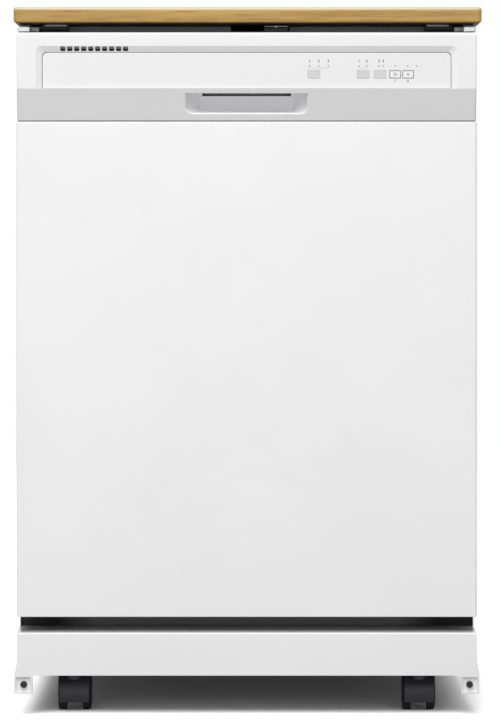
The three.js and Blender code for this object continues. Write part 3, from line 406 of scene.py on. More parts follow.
class Finish:
    """A material of a shader and the pattern nodes that feed it, laid out in the piece's metres."""

    def __init__(self, name, slot, roughness, metallic=0.0, coat=0.0, specular=0.5):
        self.slot = slot
        self.material = bpy.data.materials.new(name)
        self.material.use_nodes = True
        self.tree = self.material.node_tree
        self.shader = self.tree.nodes["Principled BSDF"]
        self.shader.inputs["Roughness"].default_value = roughness
        self.shader.inputs["Metallic"].default_value = metallic
        self.shader.inputs["Coat Weight"].default_value = coat
        self.shader.inputs["Coat Roughness"].default_value = 0.12
        self.shader.inputs["Specular IOR Level"].default_value = specular
        self.place = self.add("TexCoord").outputs["Object"]

    def add(self, kind, inputs=None, **settings):
        return add_node(self.tree, kind, inputs, **settings)

    def math(self, operation, first, second=0.0):
        return self.add("Math", {0: first, 1: second}, operation=operation).outputs[0]

    def apart(self):
        """The X, Y and Z of the place on the piece."""
        return self.add("SeparateXYZ", {"Vector": self.place}).outputs

    def stretched(self, scale):
        return self.add("Mapping", {"Vector": self.place, "Scale": scale}).outputs["Vector"]

    def noise(self, scale, detail=2.0, place=None, distortion=0.0):
        inputs = {"Scale": scale, "Detail": detail, "Distortion": distortion,
                  "Vector": place or self.place}
        return self.add("TexNoise", inputs).outputs["Fac"]

    def blend(self, factor, first, second, low=0.35, high=0.65):
        """A colour between two, as the factor goes from low to high."""
        ramp = self.add("ValToRGB", {"Fac": factor})
        for element, place, colour in zip(ramp.color_ramp.elements, (low, high), (first, second)):
            element.position = place
            element.color = colour
        return ramp.outputs["Color"]

    def mix(self, factor, first, second, kind="MIX"):
        return self.add("MixRGB", {"Fac": factor, "Color1": first, "Color2": second},
                        blend_type=kind).outputs["Color"]

    def range(self, value, low, high, start=0.3, end=0.7):
        inputs = {"Value": value, "From Min": start, "From Max": end,
                  "To Min": low, "To Max": high}
        return self.add("MapRange", inputs).outputs["Result"]

    def colour(self, output):
        self.tree.links.new(output, self.shader.inputs["Base Color"])
        return self

    def rough(self, output):
        self.tree.links.new(output, self.shader.inputs["Roughness"])
        return self

    def relief(self, *layers):
        """Bumps: each layer is a height and the distance it stands, in metres."""
        normal = None
        for height, distance in layers:
            inputs = {"Height": height, "Distance": distance, "Strength": 1.0}
            if normal:
                inputs["Normal"] = normal
            normal = self.add("Bump", inputs).outputs["Normal"]
        self.tree.links.new(normal, self.shader.inputs["Normal"])
        return self


def shades(colour, spread):
    """The colour a little darker and a little lighter."""
    return [tuple(min(1.0, c * (1 + k * spread)) for c in colour[:3]) + (1,) for k in (-1, 1)]


def enamel(name, slot, colour, roughness=0.2):
    """Sprayed and baked enamel: even colour, orange-peel skin and a clear gloss."""
    made = Finish(name, slot, roughness, coat=0.3)
    dark, light = shades(colour, 0.012)
    made.colour(made.blend(made.noise(6, 3), dark, light))
    made.rough(made.range(made.noise(35, 4), roughness - 0.03, roughness + 0.05))
    return made.relief((made.noise(420, 1), 0.00003), (made.noise(1900, 2), 0.000006))


def moulded(name, slot, colour, roughness=0.42, grain=0.00003, spread=0.02):
    """Injection-moulded plastic with a fine eroded grain and faint flow marks."""
    made = Finish(name, slot, roughness)
    dark, light = shades(colour, spread)
    made.colour(made.blend(made.noise(14, 4, distortion=0.6), dark, light))
    made.rough(made.range(made.noise(60, 3), roughness - 0.05, roughness + 0.07))
    return made.relief((made.noise(2400, 3), grain), (made.noise(90, 1), grain / 2))


def brushed(name, slot, colour, along, roughness=0.3):
    """Metal with fine lines in one direction."""
    made = Finish(name, slot, roughness, metallic=1.0)
    scale = [900, 900, 900]
    scale["xyz".index(along)] = 12
    lines = made.noise(1, 3, made.stretched(scale))
    dark, light = shades(colour, 0.07)
    made.colour(made.blend(lines, dark, light))
    made.rough(made.range(made.noise(25, 3), roughness - 0.06, roughness + 0.1))
    return made.relief((lines, 0.00002))


def laminate():
    """Glued maple strips: each with its own tint, long grain, streaks and pores, with a painted highlight
    along the rounded top front edge.
    """
    made = Finish("maple_laminate", "wood", 0.38, coat=0.35)
    place = made.apart()
    strip_width, board_length = 0.042, 0.47
    row = made.math("FLOOR", made.math("MULTIPLY", place["Y"], 1 / strip_width))
    shift = made.add("TexWhiteNoise", {"W": row}, noise_dimensions="1D").outputs["Value"]
    column = made.math("ADD", made.math("MULTIPLY", place["X"], 1 / board_length), shift)
    column = made.math("FLOOR", column)
    board = made.add("CombineXYZ", {"X": row, "Y": column}).outputs["Vector"]
    tint = made.add("TexWhiteNoise", {"Vector": board}, noise_dimensions="2D").outputs["Value"]
    offset = made.add("VectorMath", {0: board, 1: (3.7, 1.9, 2.3)}, operation="MULTIPLY")
    shifted = made.add("VectorMath", {0: made.place, 1: offset.outputs[0]}, operation="ADD").outputs[0]
    grain_map = made.add("Mapping", {"Vector": shifted, "Scale": (2.2, 42, 60)})
    grain = made.noise(1.6, 5, grain_map.outputs["Vector"], distortion=0.8)
    fine_map = made.add("Mapping", {"Vector": shifted, "Scale": (26, 620, 620)})
    fine = made.noise(1, 3, fine_map.outputs["Vector"])
    base = made.blend(grain, srgb(181, 148, 74), srgb(211, 180, 104), 0.3, 0.68)
    streak = made.blend(fine, srgb(196, 162, 106), srgb(255, 255, 255), 0.34, 0.52)
    base = made.mix(0.55, base, streak, "MULTIPLY")
    board_tint = made.blend(tint, srgb(224, 208, 186), srgb(255, 252, 246), 0.0, 1.0)
    base = made.mix(0.8, base, board_tint, "MULTIPLY")
    # painted highlight: a pale band along the slab's rounded top front edge, where the gloss catches light
    near_top = made.range(place["Z"], 0.0, 0.65, slab_high.z - 0.0048, slab_high.z - 0.0032)
    near_front = made.range(place["Y"], 1.0, 0.0, slab_low.y + 0.002, slab_low.y + 0.0045)
    painted_edge_highlight = made.math("MULTIPLY", near_top, near_front)
    made.colour(made.mix(painted_edge_highlight, base, srgb(240, 220, 178)))
    made.rough(made.range(fine, 0.34, 0.46))
    return made.relief((fine, 0.00004), (grain, 0.00003))


def rubbery(name, slot, colour, roughness=0.7):
    made = Finish(name, slot, roughness, specular=0.35)
    dark, light = shades(colour, 0.18)
    made.colour(made.blend(made.noise(30, 5), dark, light))
    made.rough(made.range(made.noise(80, 4), roughness - 0.1, roughness + 0.12))
    return made.relief((made.noise(900, 3), 0.00006))


def coated():
    """Nylon-dipped wire: thick satin coat with slow waves."""
    made = Finish("nylon_wire", "coated_wire", 0.32, coat=0.2)
    dark, light = shades(srgb(214, 217, 221), 0.03)
    made.colour(made.blend(made.noise(40, 3), dark, light))
    return made.relief((made.noise(160, 2), 0.0001))


def casting():
    made = Finish("grey_casting", "cast_iron", 0.75, metallic=0.6)
    made.colour(made.blend(made.noise(22, 6), srgb(58, 58, 60), srgb(104, 100, 97)))
    return made.relief((made.noise(260, 5), 0.0005), (made.noise(40, 3), 0.0006))


def filter_mesh():
    """Etched filter sheet: rows of fine holes."""
    made = Finish("filter_mesh", "grey_plastic", 0.45)
    holes = made.add("TexVoronoi", {"Vector": made.place, "Scale": 420, "Randomness": 0.0})
    dot = made.range(holes.outputs["Distance"], 0.0, 1.0, 0.18, 0.3)
    made.colour(made.mix(dot, srgb(66, 69, 72), srgb(176, 179, 182)))
    return made.relief((dot, 0.0004))


def felt_strip():
    """Grey felt, painted darker towards both ends of the strip: painted shade at the ends of the gap under
    the door.
    """
    made = Finish("felt", "rubber", 0.9, specular=0.2)
    # painted shade: the strip darkens towards both ends of the gap
    painted_end_shade = made.range(made.math("ABSOLUTE", made.apart()["X"]), 0.0, 1.0, 0.2, 0.255)
    made.colour(made.mix(painted_end_shade, srgb(146, 146, 146), srgb(62, 62, 62)))
    return made.relief((made.noise(1400, 3), 0.00015))


def paddle_finish():
    """Black plastic, with a painted highlight that turns it light grey along its upper edge."""
    made = Finish("paddle_resin", "black_plastic", 0.5)
    # painted highlight: lighter towards the paddle's upper edge
    painted_top_light = made.range(made.apart()["Z"], 0.0, 1.0, finger_low - 0.001, finger_high)
    made.colour(made.mix(painted_top_light, srgb(60, 60, 62), srgb(206, 206, 208)))
    return made.relief((made.noise(1200, 2), 0.00003))


def circuit_board():
    made = Finish("circuit_board", "board", 0.4, coat=0.4)
    lines = made.add("TexBrick", {"Vector": made.stretched((1, 1, 1)), "Scale": 90,
                                  "Color1": srgb(34, 92, 60), "Color2": srgb(41, 104, 68),
                                  "Mortar": srgb(120, 150, 90), "Mortar Size": 0.008})
    made.colour(lines.outputs["Color"])
    return made.relief((made.noise(700, 2), 0.00005))


white_enamel = enamel("white_enamel", "white_enamel", srgb(247, 247, 247))
white_case = moulded("white_case", "white_plastic", srgb(241, 241, 242), 0.38, spread=0.008)
cap_resin = moulded("cap_resin", "white_plastic", srgb(224, 224, 225), 0.45)
fascia_film = moulded("fascia_film", "white_plastic", srgb(237, 237, 237), 0.4, 0.000004, 0.002)
key_pad = moulded("key_pad", "grey_plastic", srgb(213, 213, 214), 0.5)
key_white = moulded("key_white", "grey_plastic", srgb(240, 240, 240), 0.4, spread=0.008)
print_ink = moulded("print_ink", "black_plastic", srgb(84, 84, 87), 0.6)
ink_light = moulded("ink_light", "grey_plastic", srgb(188, 188, 190), 0.6)
led_lens = moulded("led_lens", "black_plastic", srgb(96, 98, 102), 0.2)
grey_case = moulded("grey_case", "grey_plastic", srgb(196, 199, 203))
tub_resin = moulded("tub_resin", "tub_plastic", srgb(186, 191, 197), 0.36, 0.00005, 0.03)
black_case = moulded("black_case", "black_plastic", srgb(40, 41, 44), 0.45, spread=0.12)
vent_liner = moulded("vent_liner", "grey_plastic", srgb(184, 184, 186), 0.6)
caster_resin = moulded("caster_resin", "black_plastic", srgb(58, 58, 62), 0.42, spread=0.1)
black_paint = enamel("black_paint", "black_paint", srgb(66, 66, 69), 0.34)
# a lighter copy of the black paint: painted light that lifts the rail and its lip out of the slab's shadow
black_paint_lit = enamel("black_paint_lit", "black_paint", srgb(150, 150, 153), 0.4)
wheel_rubber = rubbery("wheel_rubber", "rubber", srgb(40, 40, 43))
seal_rubber = rubbery("seal_rubber", "rubber", srgb(58, 60, 64), 0.6)
zinc_plate = brushed("zinc_plate", "zinc", srgb(158, 160, 165), "x", 0.36)
stainless = brushed("stainless", "stainless", srgb(198, 200, 203), "y", 0.26)
wood = laminate()
wire_coat = coated()
iron = casting()
mesh_sheet = filter_mesh()
board_green = circuit_board()
felt = felt_strip()


def fit_out(piece, body, finish, *stands_for):
    """Gives a finished piece its finish, the body that it rides on and the nodes it stands for."""
    piece.data.materials.clear()
    piece.data.materials.append(finish.material)
    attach(piece, body)
    if stands_for:
        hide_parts(*stands_for)


def keep_form(node, body, finish, width, segments=2):
    """Dresses a node in its own form, with its sharp edges rounded."""
    fit_out(from_frame(node, width, segments), body, finish, node)


# ---------- worktop ----------
underside_shade_sheet = 0.0008                  # black sheet under the laminate: painted shade on the slab's underside
slab_shift = 0.0024               # the slab sits a little to the right of the cabinet
under_slab = slab_low.z - 0.0004  # top of the clips and the caps


def make_worktop():
    foot, left, inset = slab_low.z + underside_shade_sheet, slab_low.x + slab_shift, 0.003
    slab = rounded_box("worktop_slab", (left, slab_low.y, foot), slab_high, 2, 0.006)
    round_edges(slab, level(2, slab_high.z), 0.0034, 5)
    round_edges(slab, level(2, foot), 0.0022, 2)
    fit_out(soften(slab, 0), "cabinet", wood, "countertop")
    # painted shade: a black sheet where the slab's underside lies in shade
    underside_shade = rounded_box("worktop_underside_shade", (left + inset, slab_low.y + inset, slab_low.z),
                             (slab_high.x - inset, slab_high.y - inset, foot + tiny), 2, 0.002)
    fit_out(soften(underside_shade, 0), "cabinet", black_case)


# ---------- rail under the worktop, its clips and the door strike ----------
rail_sheet = 0.002
rail_half = rail_high.x
lip_notch = (-0.021, 0.057)         # the lip is cut away over the latch
clip_inner, clip_outer = half_width - 0.068, half_width - 0.028
bracket_low, bracket_high = half_width - 0.027, half_width - 0.017


def make_rail():
    front, back = rail_low.y + 0.024 + rail_sheet / 2, rail_high.y - rail_sheet / 2
    top = rail_high.z - 0.0072
    path = [(front, rail_low.z), (front, top), (back, top)]
    rail = folded("front_rail", "x", path, -rail_half, rail_half, rail_sheet, 0.003)
    # rail and lip wear the lightened black paint: painted light against the slab's shadow
    fit_out(soften(rail, 0), "cabinet", black_paint_lit, "top_front_rail")
    for name, start, end in (("left", -rail_half, lip_notch[0]), ("right", lip_notch[1], rail_half)):
        lip = block("rail_lip_" + name, (start, front - 0.0022, top - 0.004),
                    (end, front - 0.001, slab_low.z - 0.001))
        fit_out(soften(lip, 0.0004), "cabinet", black_paint_lit)


def make_worktop_clips():
    """Black clips with a sprung zinc tongue hold the slab; a zinc bracket stands beside each."""
    top, front, half = under_slab, rail_low.y, (clip_outer - clip_inner) / 2
    tongue_y, tongue_z, bracket_half = front - 0.0016, top - 0.0004, 0.0058
    bracket_y, bracket_z = tongue_y + 0.004, top - 0.0014
    for name, side in SIDES:
        x = side * (clip_inner + clip_outer) / 2
        clip = block("worktop_clip_" + name, (x - half, front, top - 0.0072), (x + half, front + 0.034, top))
        stretch(clip, "FACE", lambda c, n: n.z > 0.9, (0.8, 0.96, 1), (x, front, top))
        hollow_front(clip, 0.0016, 0.002)
        fit_out(soften(clip, 0.0005), "cabinet", black_case)
        path = [(tongue_y, top - 0.0018), (tongue_y, tongue_z), (tongue_y + 0.012, tongue_z)]
        tongue = folded("clip_tongue_" + name, "x", path, x - side * half * 0.86,
                        x + side * half * 0.6, 0.0006, 0)
        fit_out(soften(tongue, 0), "cabinet", zinc_plate)
        foot = side * (bracket_low + bracket_high) / 2
        path = [(bracket_y, top - 0.0085), (bracket_y, bracket_z), (tongue_y + 0.02, bracket_z)]
        bracket = folded("slab_bracket_" + name, "x", path, foot - bracket_half,
                         foot + bracket_half, 0.0012, 0.002)
        fit_out(soften(bracket, 0), "cabinet", zinc_plate)


def make_end_caps():
    """White caps on the side panels' front corners, reaching forward under the slab."""
    low, back = console_high.z + 0.0014, side_low.y + 0.004
    for name, side in SIDES:
        left, right = on_side(side, half_width - 0.0016, half_width - 0.0175)
        cap = block("corner_cap_" + name, (left, slab_low.y + 0.005, low), (right, back, under_slab - 0.0048))
        round_edges(cap, lambda a, b: runs(a, b, 2) and a.y < slab_low.y + 0.006, 0.0022)
        unite(cap, block("riser", (left, side_low.y - 0.012, low + 0.001), (right, back, under_slab)))
        fit_out(soften(cap, 0.0005), "cabinet", cap_resin)


def make_strike():
    low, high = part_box("door_strike")
    gauge = 0.0015
    front, top, foot_y = low.y + gauge / 2, high.z - gauge / 2, high.y - 0.014
    path = [(front, low.z), (front, top), (foot_y, top), (foot_y, rail_high.z - 0.006)]
    strike = folded("strike_hook", "x", path, low.x, high.x, gauge, 0.0024)
    fit_out(soften(strike, 0.0003), "cabinet", black_case, "door_strike")
    near, far = low.y - 0.0004, low.y + 0.04
    face = block("strike_plate", (low.x + 0.0005, near, high.z - 0.0007),
                 (high.x - 0.0005, far, high.z + 0.0001))
    unite(face, rod("strike_bump", "y", 0.0016, near, far, ((low.x + high.x) / 2, high.z - 0.0008), 20))
    fit_out(soften(face, 0.0002, 1), "cabinet", zinc_plate)


# ---------- console ----------
wall = 0.003
crease_z = console_low.z + 0.0412
band_foot_y = door_face_y - 0.001
recess_y = front_y + 0.005
recess_half = half_width - 0.035
recess_top = console_low.z + 0.0895
recess_corner = 0.0064
chamfer = 0.0085                  # width of the sloping frame round the recess
fascia_thick, fascia_gap = 0.0013, 0.0008
fascia_back = recess_y + fascia_thick
pocket_half, pocket_low, pocket_high = 0.0795, console_low.z + 0.0098, console_low.z + 0.0355
pocket_back_y = front_y + 0.027
pocket_flare = 0.0022             # chamfer at the sides and foot of the pocket's mouth
finger_half, finger_low, finger_high = 0.0588, pocket_high - 0.0033, pocket_high + 0.0009
vent_width, vent_height, vent_pitch, vent_count = 0.0069, 0.0062, 0.0092, 10
vent_x, vent_z = 0.0242 - recess_half, recess_top + 0.0012
key_brim, key_drop, key_corner = 0.001, 0.0015, 0.0012
keys = ("cycle_button", "option_button", "delay_button", "start_button", "cancel_button")
framed_keys = keys[3:]


def key_cap(node):
    """The left, right, lower and upper edge of a key's cap."""
    low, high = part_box(node)
    shift = 0.0012 if node in framed_keys else 0.0003
    return (low.x + key_brim - shift, high.x - key_brim - shift,
            low.z + key_brim - key_drop, high.z - key_brim - key_drop)


def upright(name, left, right, low, high, y):
    """An upright rectangle, seen from the front."""
    only()
    bpy.ops.mesh.primitive_plane_add(size=1, location=((left + right) / 2, y, (low + high) / 2),
                                     rotation=(pi / 2, 0, 0))
    plane = bpy.context.active_object
    plane.scale = (right - left, high - low, 1)
    return settle(plane, name)


def outline_plane(name, half, low, high, y, corner, rounds_top):
    """An upright rectangle with its two upper or lower corners rounded."""
    plane = upright(name, -half, half, low, high, y)
    return round_corners(plane, lambda p: (p.z > (low + high) / 2) == rounds_top, corner, 8)


def pull(piece, y, depth, scale, centre):
    """Extrudes the face at y by a depth and resizes its far end."""
    pick(piece, "FACE", lambda c, n: abs(c.y - y) < tiny and abs(n.y) > 0.9)
    draw_out(depth)
    bpy.ops.transform.resize(value=scale, center_override=centre)
    leave()


def arch(name, half, top, near, far, spread=0.0):
    """The recess's upright outline from far to near; its near end spreads towards the front."""
    plane = outline_plane(name, half, crease_z, top, far, recess_corner, True)
    height = top - crease_z
    scale = ((half + spread) / half, 1, (height + spread) / height)
    pull(plane, far, near - far, scale, (0, near, crease_z))
    return face_out(plane)


def scoop(name, grow):
    """The finger pocket as a solid: a straight mouth, sloping sides and a back that leans forward."""
    back, throat = pocket_back_y + grow, front_y + 0.021
    low, high, half = pocket_low + 0.0022 - grow, finger_high + grow, 0.0635 + grow
    rise = (pocket_high - pocket_low + 2 * grow) / (high - low)
    body = outline_plane(name, half, low, high, back, 0.008 + grow, False)
    push(body, "VERT", lambda p: p.z < (low + high) / 2, (0, 0.010, 0))
    pick(body, "FACE", every)
    draw_out(throat - back)
    bpy.ops.transform.resize(value=((pocket_half + grow) / half, 0, 1), center_override=(0, throat, high))
    bpy.ops.transform.resize(value=(1, 1, rise), center_override=(0, throat, high))
    bpy.ops.transform.translate(value=(0, 0, pocket_high + grow - high))
    draw_out(front_y - 0.006 - throat)
    leave()
    return face_out(body)


def mouth_chamfer():
    """Widens the pocket's mouth at its sides and foot, square to the sloping band."""
    lean = atan2(band_foot_y - front_y, crease_z - console_low.z)
    low, high = (pocket_low - crease_z) / cos(lean), (pocket_high - crease_z) / cos(lean)
    reach, height = 3 * pocket_flare, high - low
    tool = outline_plane("mouth_chamfer", pocket_half, low, high, pocket_flare, 0.0098, False)
    scale = ((pocket_half + reach) / pocket_half, 1, (height + reach) / height)
    pull(tool, pocket_flare, -reach, scale, (0, 0, high))
    tool.location = (0, front_y, crease_z)
    tool.rotation_euler = (lean, 0, 0)
    return face_out(settle(tool))


def console_block(name, grow, front, back):
    """The console's outer form, or with a negative growth its hollow."""
    half, top = half_width + grow, console_high.z - 0.001 + grow
    body = block(name, (-half, front, console_low.z - grow), (half, back, top))
    run, rise = band_foot_y - front_y, crease_z - console_low.z
    normal = Vector((0, -rise, -run)).normalized()
    slant(body, Vector((0, front_y, crease_z)) + normal * grow, normal)
    draft, draft_start = 0.045, front_y + 0.05
    for side in (-1, 1):
        slant(body, Vector((side * half, draft_start, 0)), Vector((side, -draft, 0)).normalized())
    return body


def round_console(shell):
    """Rounds the console's upper front edge, its upper side edges, its front corners and the crease."""
    top, front = console_high.z - 0.0011, front_y + 0.001
    round_edges(shell, lambda a, b: runs(a, b, 0) and min(a.z, b.z) > top and max(a.y, b.y) < front,
                0.004, 5)
    round_edges(shell, lambda a, b: abs(a.y - b.y) > 0.03 and min(a.z, b.z) > top - 0.001
                and a.x * b.x > 0, 0.0045, 5)
    round_edges(shell, lambda a, b: a.x * b.x > 0 and abs(a.z - b.z) > 0.02
                and max(a.y, b.y) < band_foot_y + 0.001, 0.0026)
    round_edges(shell, lambda a, b: runs(a, b, 0) and abs(a.z - crease_z) < 0.0005 and a.y < front,
                0.0012, 3)


def make_console():
    inside, back = half_width - wall, console_high.y - wall
    shell = console_block("console_shell", 0, front_y, console_high.y)
    round_console(shell)
    hollow = console_block("hollow", -wall, fascia_back + wall, back - tiny)
    seat = block("liner_seat", (-inside, back - 2 * tiny, console_low.z - lap),
                 (inside, console_high.y + lap, console_high.z - wall))
    carve(shell, hollow, seat)
    pocket_wall = scoop("pocket_wall", wall)
    carve(pocket_wall, console_block("outside", 0, front_y, console_high.y), operation="INTERSECT")
    unite(shell, pocket_wall)
    carve(
        shell,
        arch("recess", recess_half, recess_top, front_y - 0.0005, recess_y, chamfer),
        arch("fascia_seat", recess_half, recess_top, recess_y - lap, fascia_back),
        scoop("pocket", 0),
        mouth_chamfer(),
    )
    slot = block("finger_slot", (-finger_half, pocket_back_y - 0.002, finger_low),
                 (finger_half, pocket_back_y + 0.012, finger_high))
    carve(shell, slot, vent_tool(), *key_tools(0.0016))
    soften(shell, 0.0003, 1, 50, 20)
    fit_out(shell, "door", white_case, "console")


def vent_tool():
    slot = rounded_box("vent", (vent_x, front_y - 0.002, vent_z),
                       (vent_x + vent_width, recess_y + 0.012, vent_z + vent_height), 1, 0.0014, 3)
    return repeat(slot, vent_count, (vent_pitch, 0, 0))


def key_tools(gap):
    """The openings for the keys, one behind each cap."""
    tools = []
    for node in keys:
        left, right, low, high = key_cap(node)
        tools.append(rounded_box(node + "_opening", (left - gap, front_y - lap, low - gap),
                                 (right + gap, recess_y + 0.012, high + gap), 1, key_corner))
    return tools


def make_seams():
    """Painted shade in two seams: a dark sheet under the fascia's edge and a grey strip in the joint over the
    door panel.
    """
    # painted shade: a dark sheet at the foot of the hairline gap round the fascia
    seam_shade = arch("fascia_seam_shade", recess_half - 0.0001, recess_top - 0.0001,
                  fascia_back - 0.0004, fascia_back - 0.0001)
    carve(seam_shade, arch("hole", recess_half - 0.004, recess_top - 0.004, recess_y - lap, recess_y + beyond))
    fit_out(soften(seam_shade, 0), "door", print_ink)
    # painted shade: a grey strip in the joint between the console and the door panel
    half = half_width - 0.002
    strip = block("joint_seam_shade", (-half, door_face_y + 0.0011, panel_high.z + 0.0001),
                  (half, door_face_y + 0.004, console_low.z - 0.0001))
    fit_out(soften(strip, 0), "door", vent_liner)


def make_fascia():
    """The flat plate in the recess, with a hairline gap to its frame."""
    plate = arch("fascia_plate", recess_half - fascia_gap, recess_top - fascia_gap,
                 recess_y, fascia_back - 0.00045)
    push(plate, "VERT", lambda p: p.z < crease_z + tiny, (0, 0, 0.0004))
    carve(plate, *key_tools(0.00014))
    fit_out(soften(plate, 0.00025, 1, 50), "door", fascia_film)


def make_vents():
    """Slanting louvre blades behind the vent slots, over a dark baffle."""
    left, right, top = vent_x - 0.002, vent_x + vent_count * vent_pitch, vent_z + vent_height
    path = [(recess_y + 0.0045, top + 0.001), (recess_y + 0.0062, vent_z + 0.0034)]
    blade = folded("vent_blade", "x", path, left, right, 0.0009, 0)
    fit_out(soften(blade, 0.0002, 1), "door", vent_liner)
    baffle = block("vent_baffle", (left, recess_y + 0.0095, vent_z - 0.003),
                   (right, recess_y + 0.0105, top + 0.002))
    hollow_front(baffle, 0.0012, 0.0005)
    fit_out(soften(baffle, 0), "door", black_case)


# ---------- keys and the marks on the fascia ----------
ink = 0.00008                     # thickness of the print
mark_y = recess_y - ink / 2
line = 0.0006
lamp_z = console_low.z + 0.0711   # row of small lamps over the keys
lamp_places = (0.083, 0.0951, 0.1075, 0.1482, 0.1584, 0.1746, 0.1799, 0.1962, 0.2124, 0.2238)


def hollow_mark(mark, width):
    """Keeps the rim of a flat mark and gives it the thickness of ink."""
    pick(mark, "FACE", every)
    bpy.ops.mesh.inset(thickness=width)
    bpy.ops.mesh.delete(type="FACE")
    leave()
    return modify(mark, "SOLIDIFY", thickness=ink, offset=0)


def triangle_mark(x, z, radius, y):
    only()
    bpy.ops.mesh.primitive_circle_add(vertices=3, radius=radius, fill_type="NGON",
                                      location=(x, y, z), rotation=(pi / 2, 0, 0))
    mark = settle(bpy.context.active_object, "start_symbol")
    turn(mark, -pi / 2, "Y", (x, y, z))
    return hollow_mark(mark, line * 0.9)


def cross_mark(x, z, reach, y):
    bars = []
    for way in (-1, 1):
        bar = block("cancel_symbol", (x - reach, y - ink / 2, z - line / 2),
                    (x + reach, y + ink / 2, z + line / 2))
        turn(bar, way * pi / 4, "Y", (x, y, z))
        bars.append(bar)
    return unite(*bars)


def numeral(digits, x, z, size):
    """A printed number, upright on the fascia."""
    only()
    bpy.ops.object.text_add(location=(x, mark_y, z), rotation=(pi / 2, 0, 0))
    text = bpy.context.active_object
    text.data.body = digits
    text.data.size = size
    text.data.extrude = ink / 2
    text.data.offset = size * 0.02
    text.data.align_x = "CENTER"
    text.data.align_y = "CENTER"
    text.data.resolution_u = 4
    bpy.ops.object.convert(target="MESH")
    return settle(text, "number")


def make_keys():
    for node in keys:
        low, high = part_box(node)
        left, right, bottom, top = key_cap(node)
        x, z = (left + right) / 2, (bottom + top) / 2
        cap = rounded_box(node + "_cap", (left, low.y, bottom), (right, recess_y + 0.002, top), 1, key_corner)
        round_edges(cap, level(1, low.y), 0.0004, 3)
        brim = block("brim", (left - key_brim, fascia_back + 0.0002, bottom - key_brim),
                     (right + key_brim, fascia_back + 0.0014, top + key_brim))
        unite(cap, brim, rod("stem", "y", 0.003, recess_y + 0.0015, high.y, (x, z), 24))
        fit_out(soften(cap, 0), node, key_white if node in framed_keys else key_pad, node)
        if node in framed_keys:
            mark_key(node, low.y - ink / 2)


def mark_key(node, y):
    """A printed border and a sign on a key: a triangle to start, a cross to cancel."""
    edge = 0.0001
    left, right, low, high = key_cap(node)
    x, z = (left + right) / 2, (low + high) / 2
    border = upright(node + "_border", left + edge, right - edge, low + edge, high - edge, y)
    hollow_mark(round_corners(border, every, 0.0009, 4), line)
    sign = triangle_mark(x, z, 0.0026, y) if node == "start_button" else cross_mark(x, z, 0.0021, y)
    fit_out(together(node + "_marks", border, sign), node, print_ink)


def make_marks():
    lamps, near = [], recess_y - 0.0003
    for x in lamp_places:
        lamp = rod("lamp", "y", 0.0008, near, recess_y + 0.0005, (x, lamp_z), 16)
        lamps.append(round_edges(lamp, level(1, near), 0.00025, 2))
    fit_out(soften(together("fascia_lamps", *lamps), 0), "door", led_lens)
    numbers = []
    for group, step in ((lamp_places[:3], 1), (lamp_places[3:5], 1), (lamp_places[5:7], 2)):
        numbers += [numeral(str(step * i), x, lamp_z + 0.0064, 0.005) for i, x in enumerate(group, 1)]
    for digit, node in (("1", "start_button"), ("0", "cancel_button")):
        left, right, low, _ = key_cap(node)
        numbers.append(numeral(digit, (left + right) / 2, low - 0.0035, 0.0045))
    fit_out(together("fascia_numbers", *numbers), "door", print_ink)
    brackets = []
    for first, last in ((0, 2), (3, 4)):
        left, right = lamp_places[first] - 0.001, lamp_places[last] + 0.001
        low, half = lamp_z - 0.0028, line * 0.35
        near, far = mark_y - ink / 2, mark_y + ink / 2
        bar = block("bar", (left, near, low), (right, far, low + line * 0.7))
        ends = [block("end", (x - half, near, low), (x + half, far, low + 0.0012)) for x in (left, right)]
        brackets.append(unite(bar, *ends))
    fit_out(together("fascia_brackets", *brackets), "door", ink_light)


def make_latch_handle():
    low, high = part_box("latch_handle")
    y, z = (low.y + high.y) / 2, high.z - 0.003
    half = finger_half - 0.003
    path = [(y - 0.0005, low.z + 0.0012), (y + 0.0001, low.z + 0.012), (y, z)]
    blade = folded("paddle_blade", "x", path, -half, half, 0.0024, 0.002)
    unite(blade, rod("pin", "x", 0.003, low.x, high.x, (y, z), 24))
    fit_out(soften(blade, 0.0004), "latch_handle", paddle_finish(), "latch_handle")


# ---------- door panel ----------
lip_depth, lip = 0.014, 0.003


def make_door_panel():
    low, high = panel_low, panel_high
    skin = block("door_skin", low, high)
    open_up(skin, lambda c, n: n.y > 0.9)
    round_edges(skin, lambda a, b: runs(a, b, 2) and a.y < low.y + tiny, 0.0028, 5)
    round_edges(skin, lambda a, b: abs(a.z - b.z) < tiny and max(a.y, b.y) < low.y + 0.003
                and not runs(a, b, 1) and min(abs(a.z - low.z), abs(a.z - high.z)) < tiny, 0.0016, 3)
    to_sheet(skin, 0.0015)
    inside = half_width - 0.0016
    carve(skin, *[block("tool", (-inside, low.y + lip_depth, start), (inside, high.y + lap, end))
                  for start, end in ((low.z - lap, low.z + lip), (high.z - lip, high.z + lap))])
    fit_out(soften(skin, 0), "door", white_enamel, "door_outer_panel")


# ---------- toe panel ----------
toe_foot = toe_high.x
toe_bottom = toe_low.z + 0.024
flare_z = toe_bottom + 0.017
toe_sheet = 0.0015
ear_width, ear_rim, ear_thick = 0.024, 0.0016, 0.005


